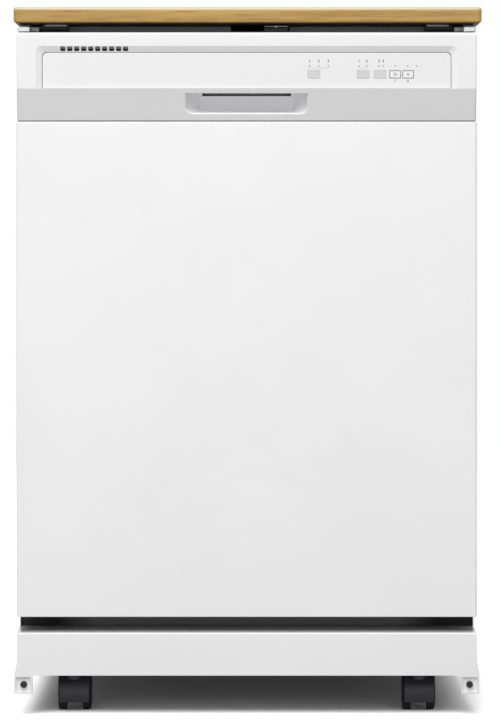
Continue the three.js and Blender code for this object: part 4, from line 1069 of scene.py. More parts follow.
def make_toe_panel():
    face, top, return_y = door_face_y, toe_high.z, door_face_y + 0.0637
    skin = block("toe_skin", (-half_width, face, toe_bottom), (half_width, return_y, top))
    open_up(skin, lambda c, n: n.y > 0.9 or n.z < -0.9)
    pick(skin, "VERT", every)
    bpy.ops.mesh.bisect(plane_co=(0, 0, flare_z), plane_no=(0, 0, 1))
    leave()
    flare = (toe_foot / half_width, 1, 1)
    stretch(skin, "VERT", lambda p: p.z < toe_bottom + tiny, flare, (0, 0, toe_bottom))
    round_edges(skin, lambda a, b: min(a.z, b.z) > top - tiny and max(a.y, b.y) < face + tiny, 0.0026)
    round_edges(skin, lambda a, b: max(a.y, b.y) < face + 0.004 and abs(a.z - b.z) > 0.01
                and a.x * b.x > 0, 0.0022)
    to_sheet(skin, toe_sheet)
    shelf_half, hem_half = half_width - sheet - 0.0003, toe_foot - 0.001
    shelf = block("shelf", (-shelf_half, return_y - 0.002, top - toe_sheet), (shelf_half, toe_high.y, top))
    hem = block("hem", (-hem_half, face + 0.0004, toe_bottom),
                (hem_half, face + ear_thick, toe_bottom + toe_sheet))
    unite(skin, shelf, hem)
    for side in (-1, 1):
        unite(skin, toe_ear(side))
    fit_out(soften(skin, 0), "cabinet", white_enamel, "toe_panel")


def toe_ear(side):
    """The thick lower corner of the toe panel, with a recess for its screw."""
    face, low = door_face_y, toe_low.z
    left, right = on_side(side, toe_foot, toe_foot - ear_width)
    ear = block("ear", (left, face, low), (right, face + ear_thick, toe_bottom + lap))
    round_edges(ear, lambda a, b: runs(a, b, 1) and a.z < low + tiny, 0.001, 3)
    round_edges(ear, level(1, face), 0.0007, 2)
    hole = block("hole", (left + ear_rim, face - lap, low + ear_rim),
                 (right - ear_rim, face + 0.0038, toe_bottom - ear_rim))
    centre = ((left + right) / 2, 0, (low + toe_bottom) / 2)
    stretch(hole, "FACE", lambda c, n: n.y > 0.9, (0.9, 1, 0.9), centre)
    round_edges(hole, lambda a, b: abs(a.y - b.y) > 0.003, 0.0014, 3)
    return carve(ear, hole)


def make_gap_strip():
    """Felt strip that closes the gap under the door, in front of the hinge beam."""
    inner = half_width - 0.0016
    strip = rounded_box("gap_strip", (-inner, toe_high.y - 0.0022, toe_high.z + 0.0004),
                        (inner, toe_high.y - 0.0006, toe_high.z + 0.042), 1, 0.002, 3)
    fit_out(soften(strip, 0), "cabinet", felt)


def make_toe_screws():
    """Pan-head screws with a cross slot."""
    for name in ("left", "right"):
        node = "toe_screw_" + name
        low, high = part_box(node)
        x, z = middle(low, high, "xz")
        head_back = low.y + 0.0036
        head = rod(node + "_shown", "y", 0.0045, low.y, head_back, (x, z))
        round_edges(head, level(1, low.y), 0.0014, 5)
        unite(head, rod("shank", "y", 0.002, head_back - 0.0005, high.y, (x, z), 24))
        carve(head, *[block("slot", (x - u, low.y - 0.001, z - v), (x + u, low.y + 0.0014, z + v))
                      for u, v in ((0.0026, 0.0005), (0.0005, 0.0026))])
        fit_out(soften(head, 0.0002, 1), "cabinet", black_case, node)


# ---------- casters ----------
wheel_radius = 0.025
hood_outer, hood_inner = wheel_radius + 0.004, wheel_radius + 0.0015
hood_start, hood_foot = radians(10), radians(206)
hood_half, web_half = 0.0195, 0.009
wheel_face, wheel_width = 0.02175, 0.01085
swivel_offset, neck_height = 0.018, 0.0612


def arc_strip(name, centre, radius, start, end, steps, half):
    """A strip bent round an axle that runs along X, as a sheet to be thickened."""
    x, y, z = centre
    strip = single_point(name, (x - half, y + radius * cos(start), z + radius * sin(start)))
    bpy.ops.mesh.extrude_vertices_move(TRANSFORM_OT_translate={"value": (2 * half, 0, 0)})
    bpy.ops.mesh.select_all(action="SELECT")
    bpy.ops.mesh.spin(steps=steps, angle=start - end, center=centre, axis=(1, 0, 0))
    leave()
    return strip


def make_caster(corner):
    """A hood over two wheels, with a neck and a stem that it swivels on."""
    fork_node, wheel_node = "caster_fork_" + corner, "caster_wheels_" + corner
    low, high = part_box(fork_node)
    x, axle_y = middle(*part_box(wheel_node), "xy")
    axle = (axle_y, wheel_radius)
    swivel = (x, axle_y - swivel_offset)
    centre = (x, *axle)
    hood = arc_strip("hood_" + corner, centre, hood_outer, hood_start, hood_foot, 36, hood_half)
    face_out(tidy(hood))
    modify(hood, "SOLIDIFY", thickness=hood_outer - hood_inner, offset=-1)
    web = rod("web", "x", hood_inner + lap, x - web_half, x + web_half, axle, 64)
    slant(web, Vector(centre), Vector((0, -sin(hood_foot), cos(hood_foot))).normalized())
    unite(hood, web)
    neck = rod("neck", "z", 0.009, wheel_radius + 0.018, low.z + neck_height, swivel, 40)
    stem = rod("stem", "z", 0.0055, wheel_radius + 0.015, high.z, swivel, 32)
    unite(hood, neck, stem)
    carve(hood, rod("bore", "x", 0.0034, x - 0.03, x + 0.03, axle, 32))
    fit_out(soften(hood, 0.0008), fork_node, caster_resin, fork_node)
    wheels = [caster_wheel(side, x, axle) for side in (-1, 1)]
    pair = together("wheels_" + corner, *wheels, rod("axle", "x", 0.003, x - 0.02, x + 0.02, axle, 24))
    fit_out(soften(pair, 0), wheel_node, wheel_rubber, wheel_node)


def caster_wheel(side, x, axle):
    """A wheel with a shallow ring pressed in its outer face."""
    outer = x + side * wheel_face
    inner = outer - side * wheel_width
    wheel = rod("wheel", "x", wheel_radius, inner, outer, axle, 64)
    round_edges(wheel, level(0, outer), 0.003, 5)
    round_edges(wheel, level(0, inner), 0.001, 2)
    depth = side * 0.0012
    dish(wheel, "x", lambda c, n: abs(c.x - outer) < tiny,
         ((0.004, 0), (0.0006, -depth), (0.0075, 0), (0.0015, depth)))
    return wheel


# ---------- cabinet ----------
def make_side_panels():
    skirt_y, notch_top = door_face_y + 0.064, panel_low.z + 0.0175 + 0.032
    for name, side in SIDES:
        node = "side_panel_" + name
        low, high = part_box(node)
        left, right = on_side(side, half_width - 0.0162, half_width)
        skin = block("cabinet_side_" + name, (left, low.y, low.z), (right, high.y, high.z))
        open_up(skin, lambda c, n: n.y > 0.9 or n.z < -0.9 or n.x * side < -0.9)
        round_edges(skin, lambda a, b: level(0, side * half_width)(a, b)
                    and (level(1, low.y)(a, b) or level(2, high.z)(a, b)), 0.0028, 5)
        to_sheet(skin, sheet)
        carve(skin, block("notch", (left - 0.002, low.y - 0.002, low.z - 0.002),
                          (right + 0.002, skirt_y, notch_top)))
        fit_out(soften(skin, 0), "cabinet", white_enamel, node)


def screw_row(places, y):
    """Hexagon washer-head screws, seen from behind."""
    screws = []
    for place in places:
        washer = rod("washer", "y", 0.0058, y, y + 0.0009, place, 32)
        screws.append(unite(washer, rod("head", "y", 0.0038, y + 0.0004, y + 0.0034, place, 6)))
    return screws


def make_rear_panel():
    """A sheet with four pressed fields, a window for the storage box and rows of screws."""
    low, high, field_depth, rim = rear_low, rear_high, 0.0016, 0.0117
    box_low, box_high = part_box("hose_storage_box")
    skin = block("cabinet_back", (low.x, high.y - sheet, low.z), high)
    window = block("window", (box_low.x + rim, high.y - 0.03, box_low.z + rim),
                   (box_high.x - rim, high.y + beyond, box_high.z - rim))
    for z0, z1 in ((low.z + 0.13, box_low.z - 0.04), (box_high.z + 0.035, high.z - 0.035)):
        for x0, x1 in ((-0.255, -0.02), (0.02, 0.255)):
            press = rounded_box("press", (x0, high.y - field_depth, z0), (x1, high.y + lap, z1),
                                1, 0.012, 5)
            pan = rounded_box("pan", (x0 - 0.001, high.y - field_depth - sheet, z0 - 0.001),
                              (x1 + 0.001, high.y - sheet / 2, z1 + 0.001), 1, 0.013, 5)
            unite(skin, pan)
            carve(skin, press)
    carve(skin, window)
    unite(skin, block("flange", (low.x + 0.02, low.y, high.z - sheet),
                      (high.x - 0.02, high.y - 0.0006, high.z)))
    fit_out(soften(skin, 0.0006, 2, 50), "cabinet", white_enamel, "rear_panel")
    places = [(side * 0.292, z) for side in (-1, 1) for z in (0.11, 0.3, 0.5, 0.7, 0.88)]
    places += [(x, z) for x in (-0.2, 0, 0.2) for z in (low.z + 0.02, high.z - 0.016)]
    screws = together("back_screws", *screw_row(places, high.y - 0.0002))
    fit_out(soften(screws, 0.0003, 1), "cabinet", zinc_plate)


GLANDS = {"hose_gland": 0.01, "cord_gland": 0.005}


def make_storage_box():
    """The moulded tray in the back that holds the hose and the cord."""
    low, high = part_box("hose_storage_box")
    rim, tray_wall = 0.012, 0.003
    tray = rounded_box("storage_tray", (low.x + rim, low.y, low.z + rim),
                       (high.x - rim, high.y - 0.0004, high.z - rim), 1, 0.012, 5)
    unite(tray, rounded_box("rim", (low.x, high.y - 0.002, low.z), high, 1, 0.014, 5))
    hollow = rounded_box("hollow", (low.x + rim + tray_wall, low.y + tray_wall, low.z + rim + tray_wall),
                         (high.x - rim - tray_wall, high.y + lap, high.z - rim - tray_wall), 1, 0.010, 5)
    round_edges(hollow, level(1, low.y + tray_wall), 0.004, 3)
    bores = []
    for node in GLANDS:
        start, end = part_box(node)
        bores.append(rod("gland_hole", "y", (end.x - start.x) / 2 - 0.0047, start.y, end.y + 0.002,
                         middle(start, end, "xz")))
    carve(tray, hollow, *bores)
    ribs = [block("rib", (x - 0.0012, low.y + 0.002, low.z + rim + 0.002),
                  (x + 0.0012, low.y + 0.012, low.z + rim + 0.05)) for x in (-0.1, -0.033, 0.033, 0.1)]
    unite(tray, *ribs)
    fit_out(soften(tray, 0.0006, 2, 50), "cabinet", grey_case, "hose_storage_box")


def make_glands():
    for node, bore in GLANDS.items():
        low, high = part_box(node)
        centre, radius = middle(low, high, "xz"), (high.x - low.x) / 2
        body = rod(node + "_body", "y", radius - 0.005, low.y, high.y, centre)
        collar = rod("collar", "y", radius, high.y - 0.003, high.y, centre)
        unite(body, collar, rod("nut", "y", radius, low.y + 0.001, low.y + 0.006, centre, 6))
        carve(body, rod("bore", "y", bore, low.y - beyond, high.y + beyond, centre, 40))
        fit_out(soften(body, 0.0005), "cabinet", black_case, node)


# ---------- tub and what is fixed in it ----------
tub_wall = 0.004
tub_inner = 0.272
tub_floor, tub_ceiling = tub_low.z + 0.009, tub_high.z - 0.013
tub_back = tub_high.y - tub_wall
tub_flange_y = tub_low.y + 0.008
tub_corner = 0.03
wash_y = (tub_low.y + tub_back) / 2
wash_centre = (0, wash_y)


def tub_form(name, grow, front):
    """The wash space, grown by the wall for the outside of the tub."""
    back = tub_back + grow
    piece = block(name, (-tub_inner - grow, front, tub_floor - grow),
                  (tub_inner + grow, back, tub_ceiling + grow))
    return round_edges(piece, lambda a, b: runs(a, b, 1) or level(1, back)(a, b), tub_corner + grow, 6)


def make_tub():
    shell = tub_form("wash_tub", tub_wall, tub_low.y)
    unite(shell, rounded_box("flange", tub_low, (tub_high.x, tub_flange_y, tub_high.z), 1, 0.02, 6))
    mouth = rounded_box("mouth", (-tub_inner, tub_low.y - beyond, tub_floor + 0.007),
                        (tub_inner, tub_flange_y + beyond, tub_ceiling), 1, tub_corner, 6)
    carve(shell, tub_form("inside", 0, tub_flange_y), mouth)
    float_place = middle(*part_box("float_dome"), "xy")
    extras = tub_ledges(-1) + tub_ledges(1)
    extras.append(rod("stub", "z", 0.008, tub_floor - lap, tub_floor + 0.008, float_place, 40))
    rib_y = tub_back - 0.003
    for z in (tub_floor + 0.28, tub_floor + 0.51, tub_floor + 0.61):
        rib = block("rib", (-0.2, rib_y, z - 0.006), (0.2, tub_back + lap, z + 0.006))
        extras.append(round_edges(rib, level(1, rib_y), 0.0025, 3))
    unite(shell, *extras)
    carve(
        shell,
        rod("sump_opening", "z", 0.105, tub_floor - 0.009, tub_floor + 0.009, wash_centre, 96),
        rod("float_bore", "z", 0.0046, tub_floor - 0.009, tub_floor + 0.02, float_place, 32),
    )
    fit_out(soften(shell, 0.0008, 2, 50), "cabinet", tub_resin, "tub")


def tub_ledges(side):
    """On one wall, the ledge that the lower rack rolls on and the guides over and under the upper rail."""
    wall_x, ledge_x, guide_x = (side * (tub_inner + reach) for reach in (0.001, -0.017, -0.007))
    left, right = sorted((wall_x, ledge_x))
    ledge = block("ledge", (left, tub_flange_y - lap, tub_floor - lap),
                  (right, tub_back - 0.01, tub_floor + 0.013))
    pieces = [round_edges(ledge, lambda a, b: runs(a, b, 1) and a.z > tub_floor
                          and abs(a.x - ledge_x) < tiny, 0.004)]
    rail_foot, rail_top = (corner.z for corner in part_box("upper_rail_left"))
    gap, guide_height, guide_half = 0.0003, 0.0073, 0.11
    for low, high in ((rail_foot - guide_height, rail_foot - gap), (rail_top + gap, rail_top + guide_height)):
        left, right = sorted((guide_x, wall_x))
        guide = block("guide", (left, -guide_half, low), (right, guide_half, high))
        round_edges(guide, lambda a, b: not runs(a, b, 0) and level(0, guide_x)(a, b), 0.002, 3)
        pieces.append(guide)
    return pieces


def make_seal():
    low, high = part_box("door_seal")
    band = 0.008
    seal = rounded_box("seal", low, high, 1, 0.036, 8)
    carve(seal, rounded_box("hole", (low.x + band, low.y - beyond, low.z - beyond),
                            (high.x - band, high.y + beyond, high.z - band), 1, 0.028, 8))
    fit_out(soften(seal, 0.0018, 4, 60), "cabinet", seal_rubber, "door_seal")


def make_filter():
    """A sheet of fine holes in a ring, with openings for the arm's post and for the cup."""
    low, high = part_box("filter_plate")
    cup = middle(*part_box("filter_cup"), "xy")
    radius, ring_low = (high.x - low.x) / 2, low.z + 0.0001
    through = (low.z - beyond, high.z + beyond)
    plate = rod("filter_sheet", "z", radius, low.z, high.z, wash_centre, 96)
    rings = [rod("post_ring", "z", 0.018, ring_low, high.z + 0.0006, wash_centre)]
    for outer, inner in ((radius, radius - 0.005), (0.078, 0.075)):
        ring = rod("rim", "z", outer, ring_low, high.z + 0.0005, wash_centre, 96)
        rings.append(carve(ring, rod("inner", "z", inner, *through, wash_centre, 96)))
    unite(plate, *rings)
    carve(plate, rod("post", "z", 0.013, *through, wash_centre), rod("cup", "z", 0.0298, *through, cup, 64))
    fit_out(soften(plate, 0.0003, 1), "cabinet", mesh_sheet, "filter_plate")


def make_filter_cup():
    """A flanged cup with a grip and a cross bar."""
    x, y = cup = middle(*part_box("filter_cup"), "xy")
    rim_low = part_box("filter_plate")[1].z + 0.0003
    foot, brim, bar_low = rim_low - 0.026, rim_low + 0.003, rim_low - 0.004
    body = rod("filter_cup_body", "z", 0.029, foot, rim_low + lap, cup, 64)
    round_edges(body, level(2, foot), 0.003)
    rim = rod("rim", "z", 0.033, rim_low, brim, cup, 64)
    round_edges(rim, level(2, brim), 0.001, 3)
    unite(body, rim)
    carve(body, rod("bowl", "z", 0.025, rim_low - 0.023, rim_low + beyond, cup, 64))
    reach, half = 0.0262, 0.003
    grip = block("grip", (x - reach, y - half, bar_low), (x + reach, y + half, rim_low + 0.009))
    round_edges(grip, lambda a, b: runs(a, b, 1) and a.z > rim_low, 0.006, 5)
    cross = block("cross", (x - half, y - reach, bar_low), (x + half, y + reach, rim_low + 0.002))
    unite(body, grip, cross)
    fit_out(soften(body, 0.0005), "filter_cup", grey_case, "filter_cup")


def make_float():
    """A hollow cap on a stem, slotted at its foot so that water can enter."""
    low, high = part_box("float_dome")
    x, y = centre = middle(low, high, "xy")
    foot = high.z - 0.02
    dome = rod("float_cap", "z", 0.02, foot, high.z, centre, 64)
    round_edges(dome, level(2, high.z), 0.006, 6)
    carve(dome, rod("hollow", "z", 0.017, foot - 0.01, high.z - 0.003, centre, 64))
    unite(dome, rod("stem", "z", 0.004, low.z, high.z - 0.002, centre, 32))
    slots = [block("slot", (x - u, y - v, foot - lap), (x + u, y + v, foot + 0.004))
             for u, v in ((0.03, 0.002), (0.002, 0.012))]
    for slot in slots:
        carve(slot, rod("keep", "z", 0.0045, foot - beyond, foot + beyond, centre, 32))
    carve(dome, *slots)
    fit_out(soften(dome, 0.0005), "float_dome", grey_case, "float_dome")


def make_heater():
    low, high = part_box("heating_element")
    tube = 0.004
    ring_radius, ring_z = (high.y - low.y) / 2 - tube, high.z - tube
    only()
    bpy.ops.mesh.primitive_torus_add(major_radius=ring_radius, minor_radius=tube, major_segments=144,
                                     minor_segments=16, location=(0, wash_y, ring_z))
    parts = [settle(bpy.context.active_object, "heater_ring")]
    for angle in (60, 180, 300):
        place = (ring_radius * cos(radians(angle)), wash_y + ring_radius * sin(radians(angle)))
        parts += [rod("foot", "z", 0.0045, low.z, ring_z, place, 24),
                  rod("nut", "z", 0.0049, low.z + 0.0002, low.z + 0.003, place, 6)]
    fit_out(soften(together("heater", *parts), 0), "cabinet", stainless, "heating_element")


def make_spray_arm(name, node, root, tip, hub, bore):
    """Two tapering blades on a hub, with slots that spray upwards."""
    low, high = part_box(node)
    blade_low, blade_high = (low.z + 0.003, high.z - 0.002) if hub else (high.z - 0.012, high.z)
    blades = []
    for side in (-1, 1):
        left, right = on_side(side, 0.0, high.x)
        blade = block("blade", (left, wash_y - tip, blade_low), (right, wash_y + tip, blade_high))
        stretch(blade, "FACE", lambda c, n: abs(c.x) < tiny, (1, root * 0.86 / tip, 1), (0, wash_y, 0))
        blades.append(round_edges(blade, lambda a, b: runs(a, b, 2) and abs(a.x) > 0.1, tip * 0.96, 8))
    arm = rod(name, "z", root, blade_low, blade_high, wash_centre, 64)
    unite(arm, *blades)
    round_edges(tidy(arm), lambda a, b: level(2, blade_high)(a, b) and not runs(a, b, 2), 0.0032)
    if hub:
        boss = rod("boss", "z", hub, low.z, high.z, wash_centre)
        unite(arm, round_edges(boss, level(2, high.z), 0.0012, 3))
    tools = [rod("bore", "z", bore, low.z - beyond, high.z + beyond, wash_centre)]
    jet_length, jet_width = 0.0045, 0.0011
    for side in (-1, 1):
        for share in (0.26, 0.42, 0.58, 0.74, 0.9):
            x, y = side * share * high.x, wash_y + side * (0.004 if share < 0.8 else -0.003)
            tools.append(block("jet", (x - jet_length, y - jet_width, blade_high - 0.003),
                               (x + jet_length, y + jet_width, blade_high + beyond)))
    carve(arm, *tools)
    fit_out(soften(arm, 0.0003, 1, 60), node, grey_case, node)


def make_motor_and_pump():
    """Two ribbed cans that lie along X, each with a flange and a smaller cap at its far end."""
    for node, name, tail in (("wash_motor", "motor", 0.01), ("drain_pump", "pump", 0.0142)):
        low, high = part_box(node)
        side = 1 if low.x > 0 else -1
        near, far = (low.x, high.x) if side > 0 else (high.x, low.x)
        centre, radius = middle(low, high, "yz"), (high.z - low.z) / 2
        body_end = far - side * tail
        can = rod(name + "_can", "x", radius * 0.97, near, body_end, centre, 64)
        round_edges(can, level(0, body_end), 0.005, 5)
        flange = rod("flange", "x", radius * 0.998, near, near + side * 0.012, centre, 64)
        unite(can, flange, rod("shaft_cap", "x", radius * 0.5, body_end - side * 0.004, far, centre))
        places = [near + side * (0.02 + (abs(body_end - near) - 0.034) * i / 6) for i in range(7)]
        unite(can, *[rod("ring", "x", radius * 0.995, x - 0.0016, x + 0.0016, centre, 64) for x in places])
        fit_out(soften(can, 0.0006), "cabinet", black_case, node)


# ---------- springs and weight ----------
spring_gauge = 0.0013
spring_hook = 0.024
spring_turns = 56


def make_springs():
    """Closely wound coils along Y with a bent hook at each end."""
    for side in ("left", "right"):
        node = "door_spring_" + side
        low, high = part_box(node)
        x, z = middle(low, high, "xz")
        coil_radius = (high.x - low.x) / 2 - spring_gauge - 0.0002
        start, end = low.y + spring_hook, high.y - spring_hook
        only()
        bpy.ops.mesh.primitive_circle_add(vertices=8, radius=spring_gauge, location=(0, coil_radius, 0),
                                          rotation=(0, pi / 2, 0))
        coil = settle(bpy.context.active_object, "coil_spring_" + side)
        modify(coil, "SCREW", axis="X", steps=18, render_steps=18, iterations=spring_turns,
               screw_offset=(end - start) / spring_turns, use_normal_calculate=True)
        turn(coil, -pi / 2, "Z", (0, 0, 0))
        reach = [p.co.y for p in coil.data.vertices]
        push(coil, "VERT", every, (x, (start + end - min(reach) - max(reach)) / 2, z))
        face_out(coil)
        hooks = []
        for tip, mouth in ((low.y, start), (high.y, end)):
            way = 1 if mouth > tip else -1
            points = [(x, tip, z), (x, mouth - way * 0.006, z), (x, mouth, z + coil_radius)]
            hooks.append(thicken("hook", [bent(points, 0.003)], spring_gauge))
        spring = together("coil_spring_" + side, coil, *hooks)
        fit_out(soften(spring, 0), "cabinet", zinc_plate, node)


def make_counterweight():
    low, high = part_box("counterweight")
    weight = rounded_box("balance_weight", low, high, 1, 0.006)
    dish(weight, "y", lambda c, n: n.y > 0.9, ((0.014, -0.006),))
    z = (low.z + high.z) / 2
    unite(weight, *[rod("boss", "y", 0.011, high.y - 0.02, high.y - 0.0005, (x, z), 32)
                    for x in (-0.12, 0.12)])
    fit_out(soften(weight, 0.0016, 3), "cabinet", iron, "counterweight")


# ---------- racks and basket ----------
rim_wire, floor_wire, tine_wire = 0.002, 0.0016, 0.0013
rack_corner, rack_bend = 0.028, 0.011
column_count, row_count = 15, 12
layer_step = 0.0012               # how far each layer of wires lies inside or above the last


def spread_between(start, end, count):
    return [start + (end - start) * i / (count - 1) for i in range(count)]


def wire_rack(name, low, high, floor_z, tine_columns, tine_rows, tine_top):
    """A basket of bent wire: rims, crossing U wires and rows of tines."""
    half, front, back = high.x - rim_wire, low.y + rim_wire, high.y - rim_wire
    rim_z, floor_z = high.z - rim_wire, floor_z + rim_wire

    def loop(z):
        return bent([(-half, front, z), (half, front, z), (half, back, z), (-half, back, z)],
                    rack_corner, True)

    rims = thicken("rims", [loop(rim_z), loop(floor_z + 0.3 * (rim_z - floor_z))], rim_wire)
    half, front, back = half - layer_step, front + layer_step, back - layer_step
    upper_z = floor_z + layer_step
    span, width = back - front - 2 * rack_corner, 2 * (half - rack_corner)
    across = []
    for i in range(row_count):
        y = front + rack_corner + span * i / (row_count - 1)
        across.append(bent([(-half, y, rim_z), (-half, y, floor_z), (half, y, floor_z), (half, y, rim_z)],
                           rack_bend))
    for i in range(column_count):
        x = -half + rack_corner + width * i / (column_count - 1)
        across.append(bent([(x, front, rim_z), (x, front, upper_z), (x, back, upper_z), (x, back, rim_z)],
                           rack_bend))
    floor = thicken("floor_wires", across, floor_wire, 1)
    tines, start, end, foot_z = [], tine_rows[0] - 0.02, tine_rows[-1] + 0.02, floor_z + floor_wire
    for x in tine_columns:
        tines.append(bent([(x, start, foot_z), (x, end, foot_z)]))
        tines += [bent([(x, y, floor_z), (x, y, tine_top - tine_wire)]) for y in tine_rows]
    return together(name, rims, floor, thicken("tines", tines, tine_wire, 1))


def make_lower_rack():
    low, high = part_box("lower_rack")
    floor_z = tub_floor + 0.041
    columns = [(i - 3) * 0.0802 for i in (1, 2, 4, 5)]
    rows = spread_between(low.y + 0.11, low.y + 0.37, 9)
    rack = wire_rack("lower_rack_wires", low, high, floor_z, columns, rows, floor_z + 0.064)
    plates, half = [], 0.0078
    for row in ("front", "rear"):
        y, z = middle(*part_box("lower_wheels_" + row), "yz")
        for side in (-1, 1):
            left, right = on_side(side, high.x, high.x - 0.0038)
            plate = block("plate", (left, y - half, z - 0.008), (right, y + half, floor_z + 0.003))
            round_edges(plate, lambda a, b: runs(a, b, 0) and a.z < z, 0.005)
            carve(plate, rod("bore", "x", 0.0029, left - beyond, right + beyond, (y, z), 24))
            plates.append(soften(plate, 0.0006))
    fit_out(together("lower_rack_wires", rack, *plates), "lower_rack", wire_coat, "lower_rack")


def make_rack_wheels():
    for row in ("front", "rear"):
        node = "lower_wheels_" + row
        low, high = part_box(node)
        axle, radius = middle(low, high, "yz"), (high.z - low.z) / 2
        pieces = [rod("axle_" + row, "x", 0.0025, low.x + 0.004, high.x - 0.004, axle, 20)]
        pieces += [rack_wheel(side, high.x, axle, radius) for side in (-1, 1)]
        fit_out(soften(together("rack_wheels_" + row, *pieces), 0), node, grey_case, node)


def rack_wheel(side, reach, axle, radius):
    """A wheel dished on both sides, with a hub and spokes."""
    y, z = axle
    outer = side * reach
    inner = outer - side * 0.018
    wheel = rod("wheel", "x", radius, inner, outer, axle, 64)
    round_edges(wheel, lambda a, b: level(0, outer)(a, b) or level(0, inner)(a, b), 0.002, 3)
    for place, way in ((outer, -side), (inner, side)):
        dish(wheel, "x", lambda c, n: abs(c.x - place) < tiny and abs(n.x) > 0.9,
             ((0.004, 0), (0.0008, way * 0.005)))
    hub = rod("hub", "x", 0.0065, inner + side * 0.0005, outer - side * 0.0005, axle, 32)
    left, right, half, tip = min(inner, outer) + 0.002, max(inner, outer) - 0.002, 0.0008, radius - 0.004
    spokes = []
    for angle in range(0, 180, 36):
        spoke = block("spoke", (left, y - half, z - tip), (right, y + half, z + tip))
        turn(spoke, radians(angle), "X", ((inner + outer) / 2, y, z))
        spokes.append(spoke)
    return unite(wheel, hub, *spokes)


def make_upper_rack():
    """The wire basket with a runner on each side and the pipe that feeds the upper spray arm."""
    low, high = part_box("upper_rack")
    wires_half, floor_z = tub_inner - 0.032, tub_floor + 0.36
    front, back = low.y, tub_back - 0.04
    columns = [(i - 3) * 0.0787 for i in (1, 5)]
    rows = spread_between(front + 0.068, front + 0.368, 11)
    rack = wire_rack("upper_rack_wires", Vector((-wires_half, front, floor_z)),
                     Vector((wires_half, back, high.z)), floor_z, columns, rows, floor_z + 0.054)
    slide_low, slide_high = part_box("upper_rail_left")
    parts = []
    for side in (-1, 1):
        left, right = on_side(side, wires_half - 0.002, high.x)
        runner = rounded_box("runner", (left, front + 0.046, slide_low.z + 0.003),
                             (right, back - 0.02, slide_high.z - 0.003), 0, 0.006)
        parts.append(soften(runner, 0.0012, 3))
    pipe_low = floor_z - 0.017
    pipe = rounded_box("pipe", (-0.012, wash_y - 0.014, pipe_low), (0.012, high.y, floor_z + lap), 1, 0.004)
    round_edges(pipe, lambda a, b: runs(a, b, 2) and a.y < wash_y, 0.008, 5)
    pivot = rod("pivot", "z", 0.008, pipe_low - 0.022, pipe_low + lap, wash_centre, 40)
    collar = rod("collar", "z", 0.012, low.z, low.z + 0.004, wash_centre)
    unite(pipe, pivot, round_edges(collar, level(2, low.z), 0.001, 3))
    parts.append(soften(pipe, 0.0006))
    fit_out(together("upper_rack_wires", rack, *parts), "upper_rack", wire_coat, "upper_rack")


def make_upper_rails():
    """Channel rails, open towards the rack, with a stop at each end."""
    gauge = 0.0014
    for name, side in SIDES:
        node = "upper_rail_" + name
        low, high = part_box(node)
        foot, top = low.z + gauge / 2, high.z - gauge / 2
        outer, tip = (low.x, high.x) if side < 0 else (high.x, low.x)
        web = outer - side * gauge / 2
        path = [(tip, foot), (web, foot), (web, top), (tip, top)]
        rail = folded("rack_rail_" + name, "y", path, low.y, high.y, gauge, 0.0026)
        left, right = sorted((web, tip + side * 0.0004))
        unite(rail, *[block("stop", (left, near + 0.0005, foot), (right, near + 0.0055, top))
                      for near in (low.y, high.y - 0.006)])
        fit_out(soften(rail, 0.0003), node, stainless, node)


basket_cells, basket_wall = 4, 0.002
slot_width, slot_pitch = 0.0042, 0.0086


def make_basket():
    """A box of open cells with slotted walls and floor, under a bent grip."""
    low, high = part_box("silverware_basket")
    node, top, thick = "silverware_basket", low.z + 0.106, basket_wall
    basket = rounded_box("silverware_cells", low, (high.x, high.y, top), 2, 0.008)
    pitch = (high.x - low.x - thick) / basket_cells
    lefts = [low.x + thick + i * pitch for i in range(basket_cells)]
    carve(basket, *[rounded_box("cell", (left, low.y + thick, low.z + thick),
                                (left + pitch - thick, high.y - thick, top + beyond), 2, 0.006)
                    for left in lefts])
    for row_low, row_high in ((low.z + 0.012, low.z + 0.04), (low.z + 0.048, low.z + 0.076)):
        for left in lefts:
            start = left + 0.0055
            slot = rounded_box("slot", (start, low.y - beyond, row_low),
                               (start + slot_width, high.y + beyond, row_high), 1, 0.002, 3)
            carve(basket, repeat(slot, 6, (slot_pitch, 0, 0)))
    floor_slot = block("floor_slot", (low.x + 0.006, low.y + 0.008, low.z - beyond),
                       (low.x + 0.0105, high.y - 0.008, low.z + beyond))
    carve(basket, repeat(floor_slot, 26, (slot_pitch, 0, 0)))
    y, foot, grip_radius = (low.y + high.y) / 2, top - 0.012, 0.0034
    grip_z = high.z - grip_radius
    points = [(-pitch, y, foot), (-pitch, y, grip_z), (pitch, y, grip_z), (pitch, y, foot)]
    grip = thicken("grip", [bent(points, 0.012)], grip_radius, 3)
    soften(basket, 0.0004, 1, 50)
    fit_out(together("silverware_cells", basket, grip), node, grey_case, node)


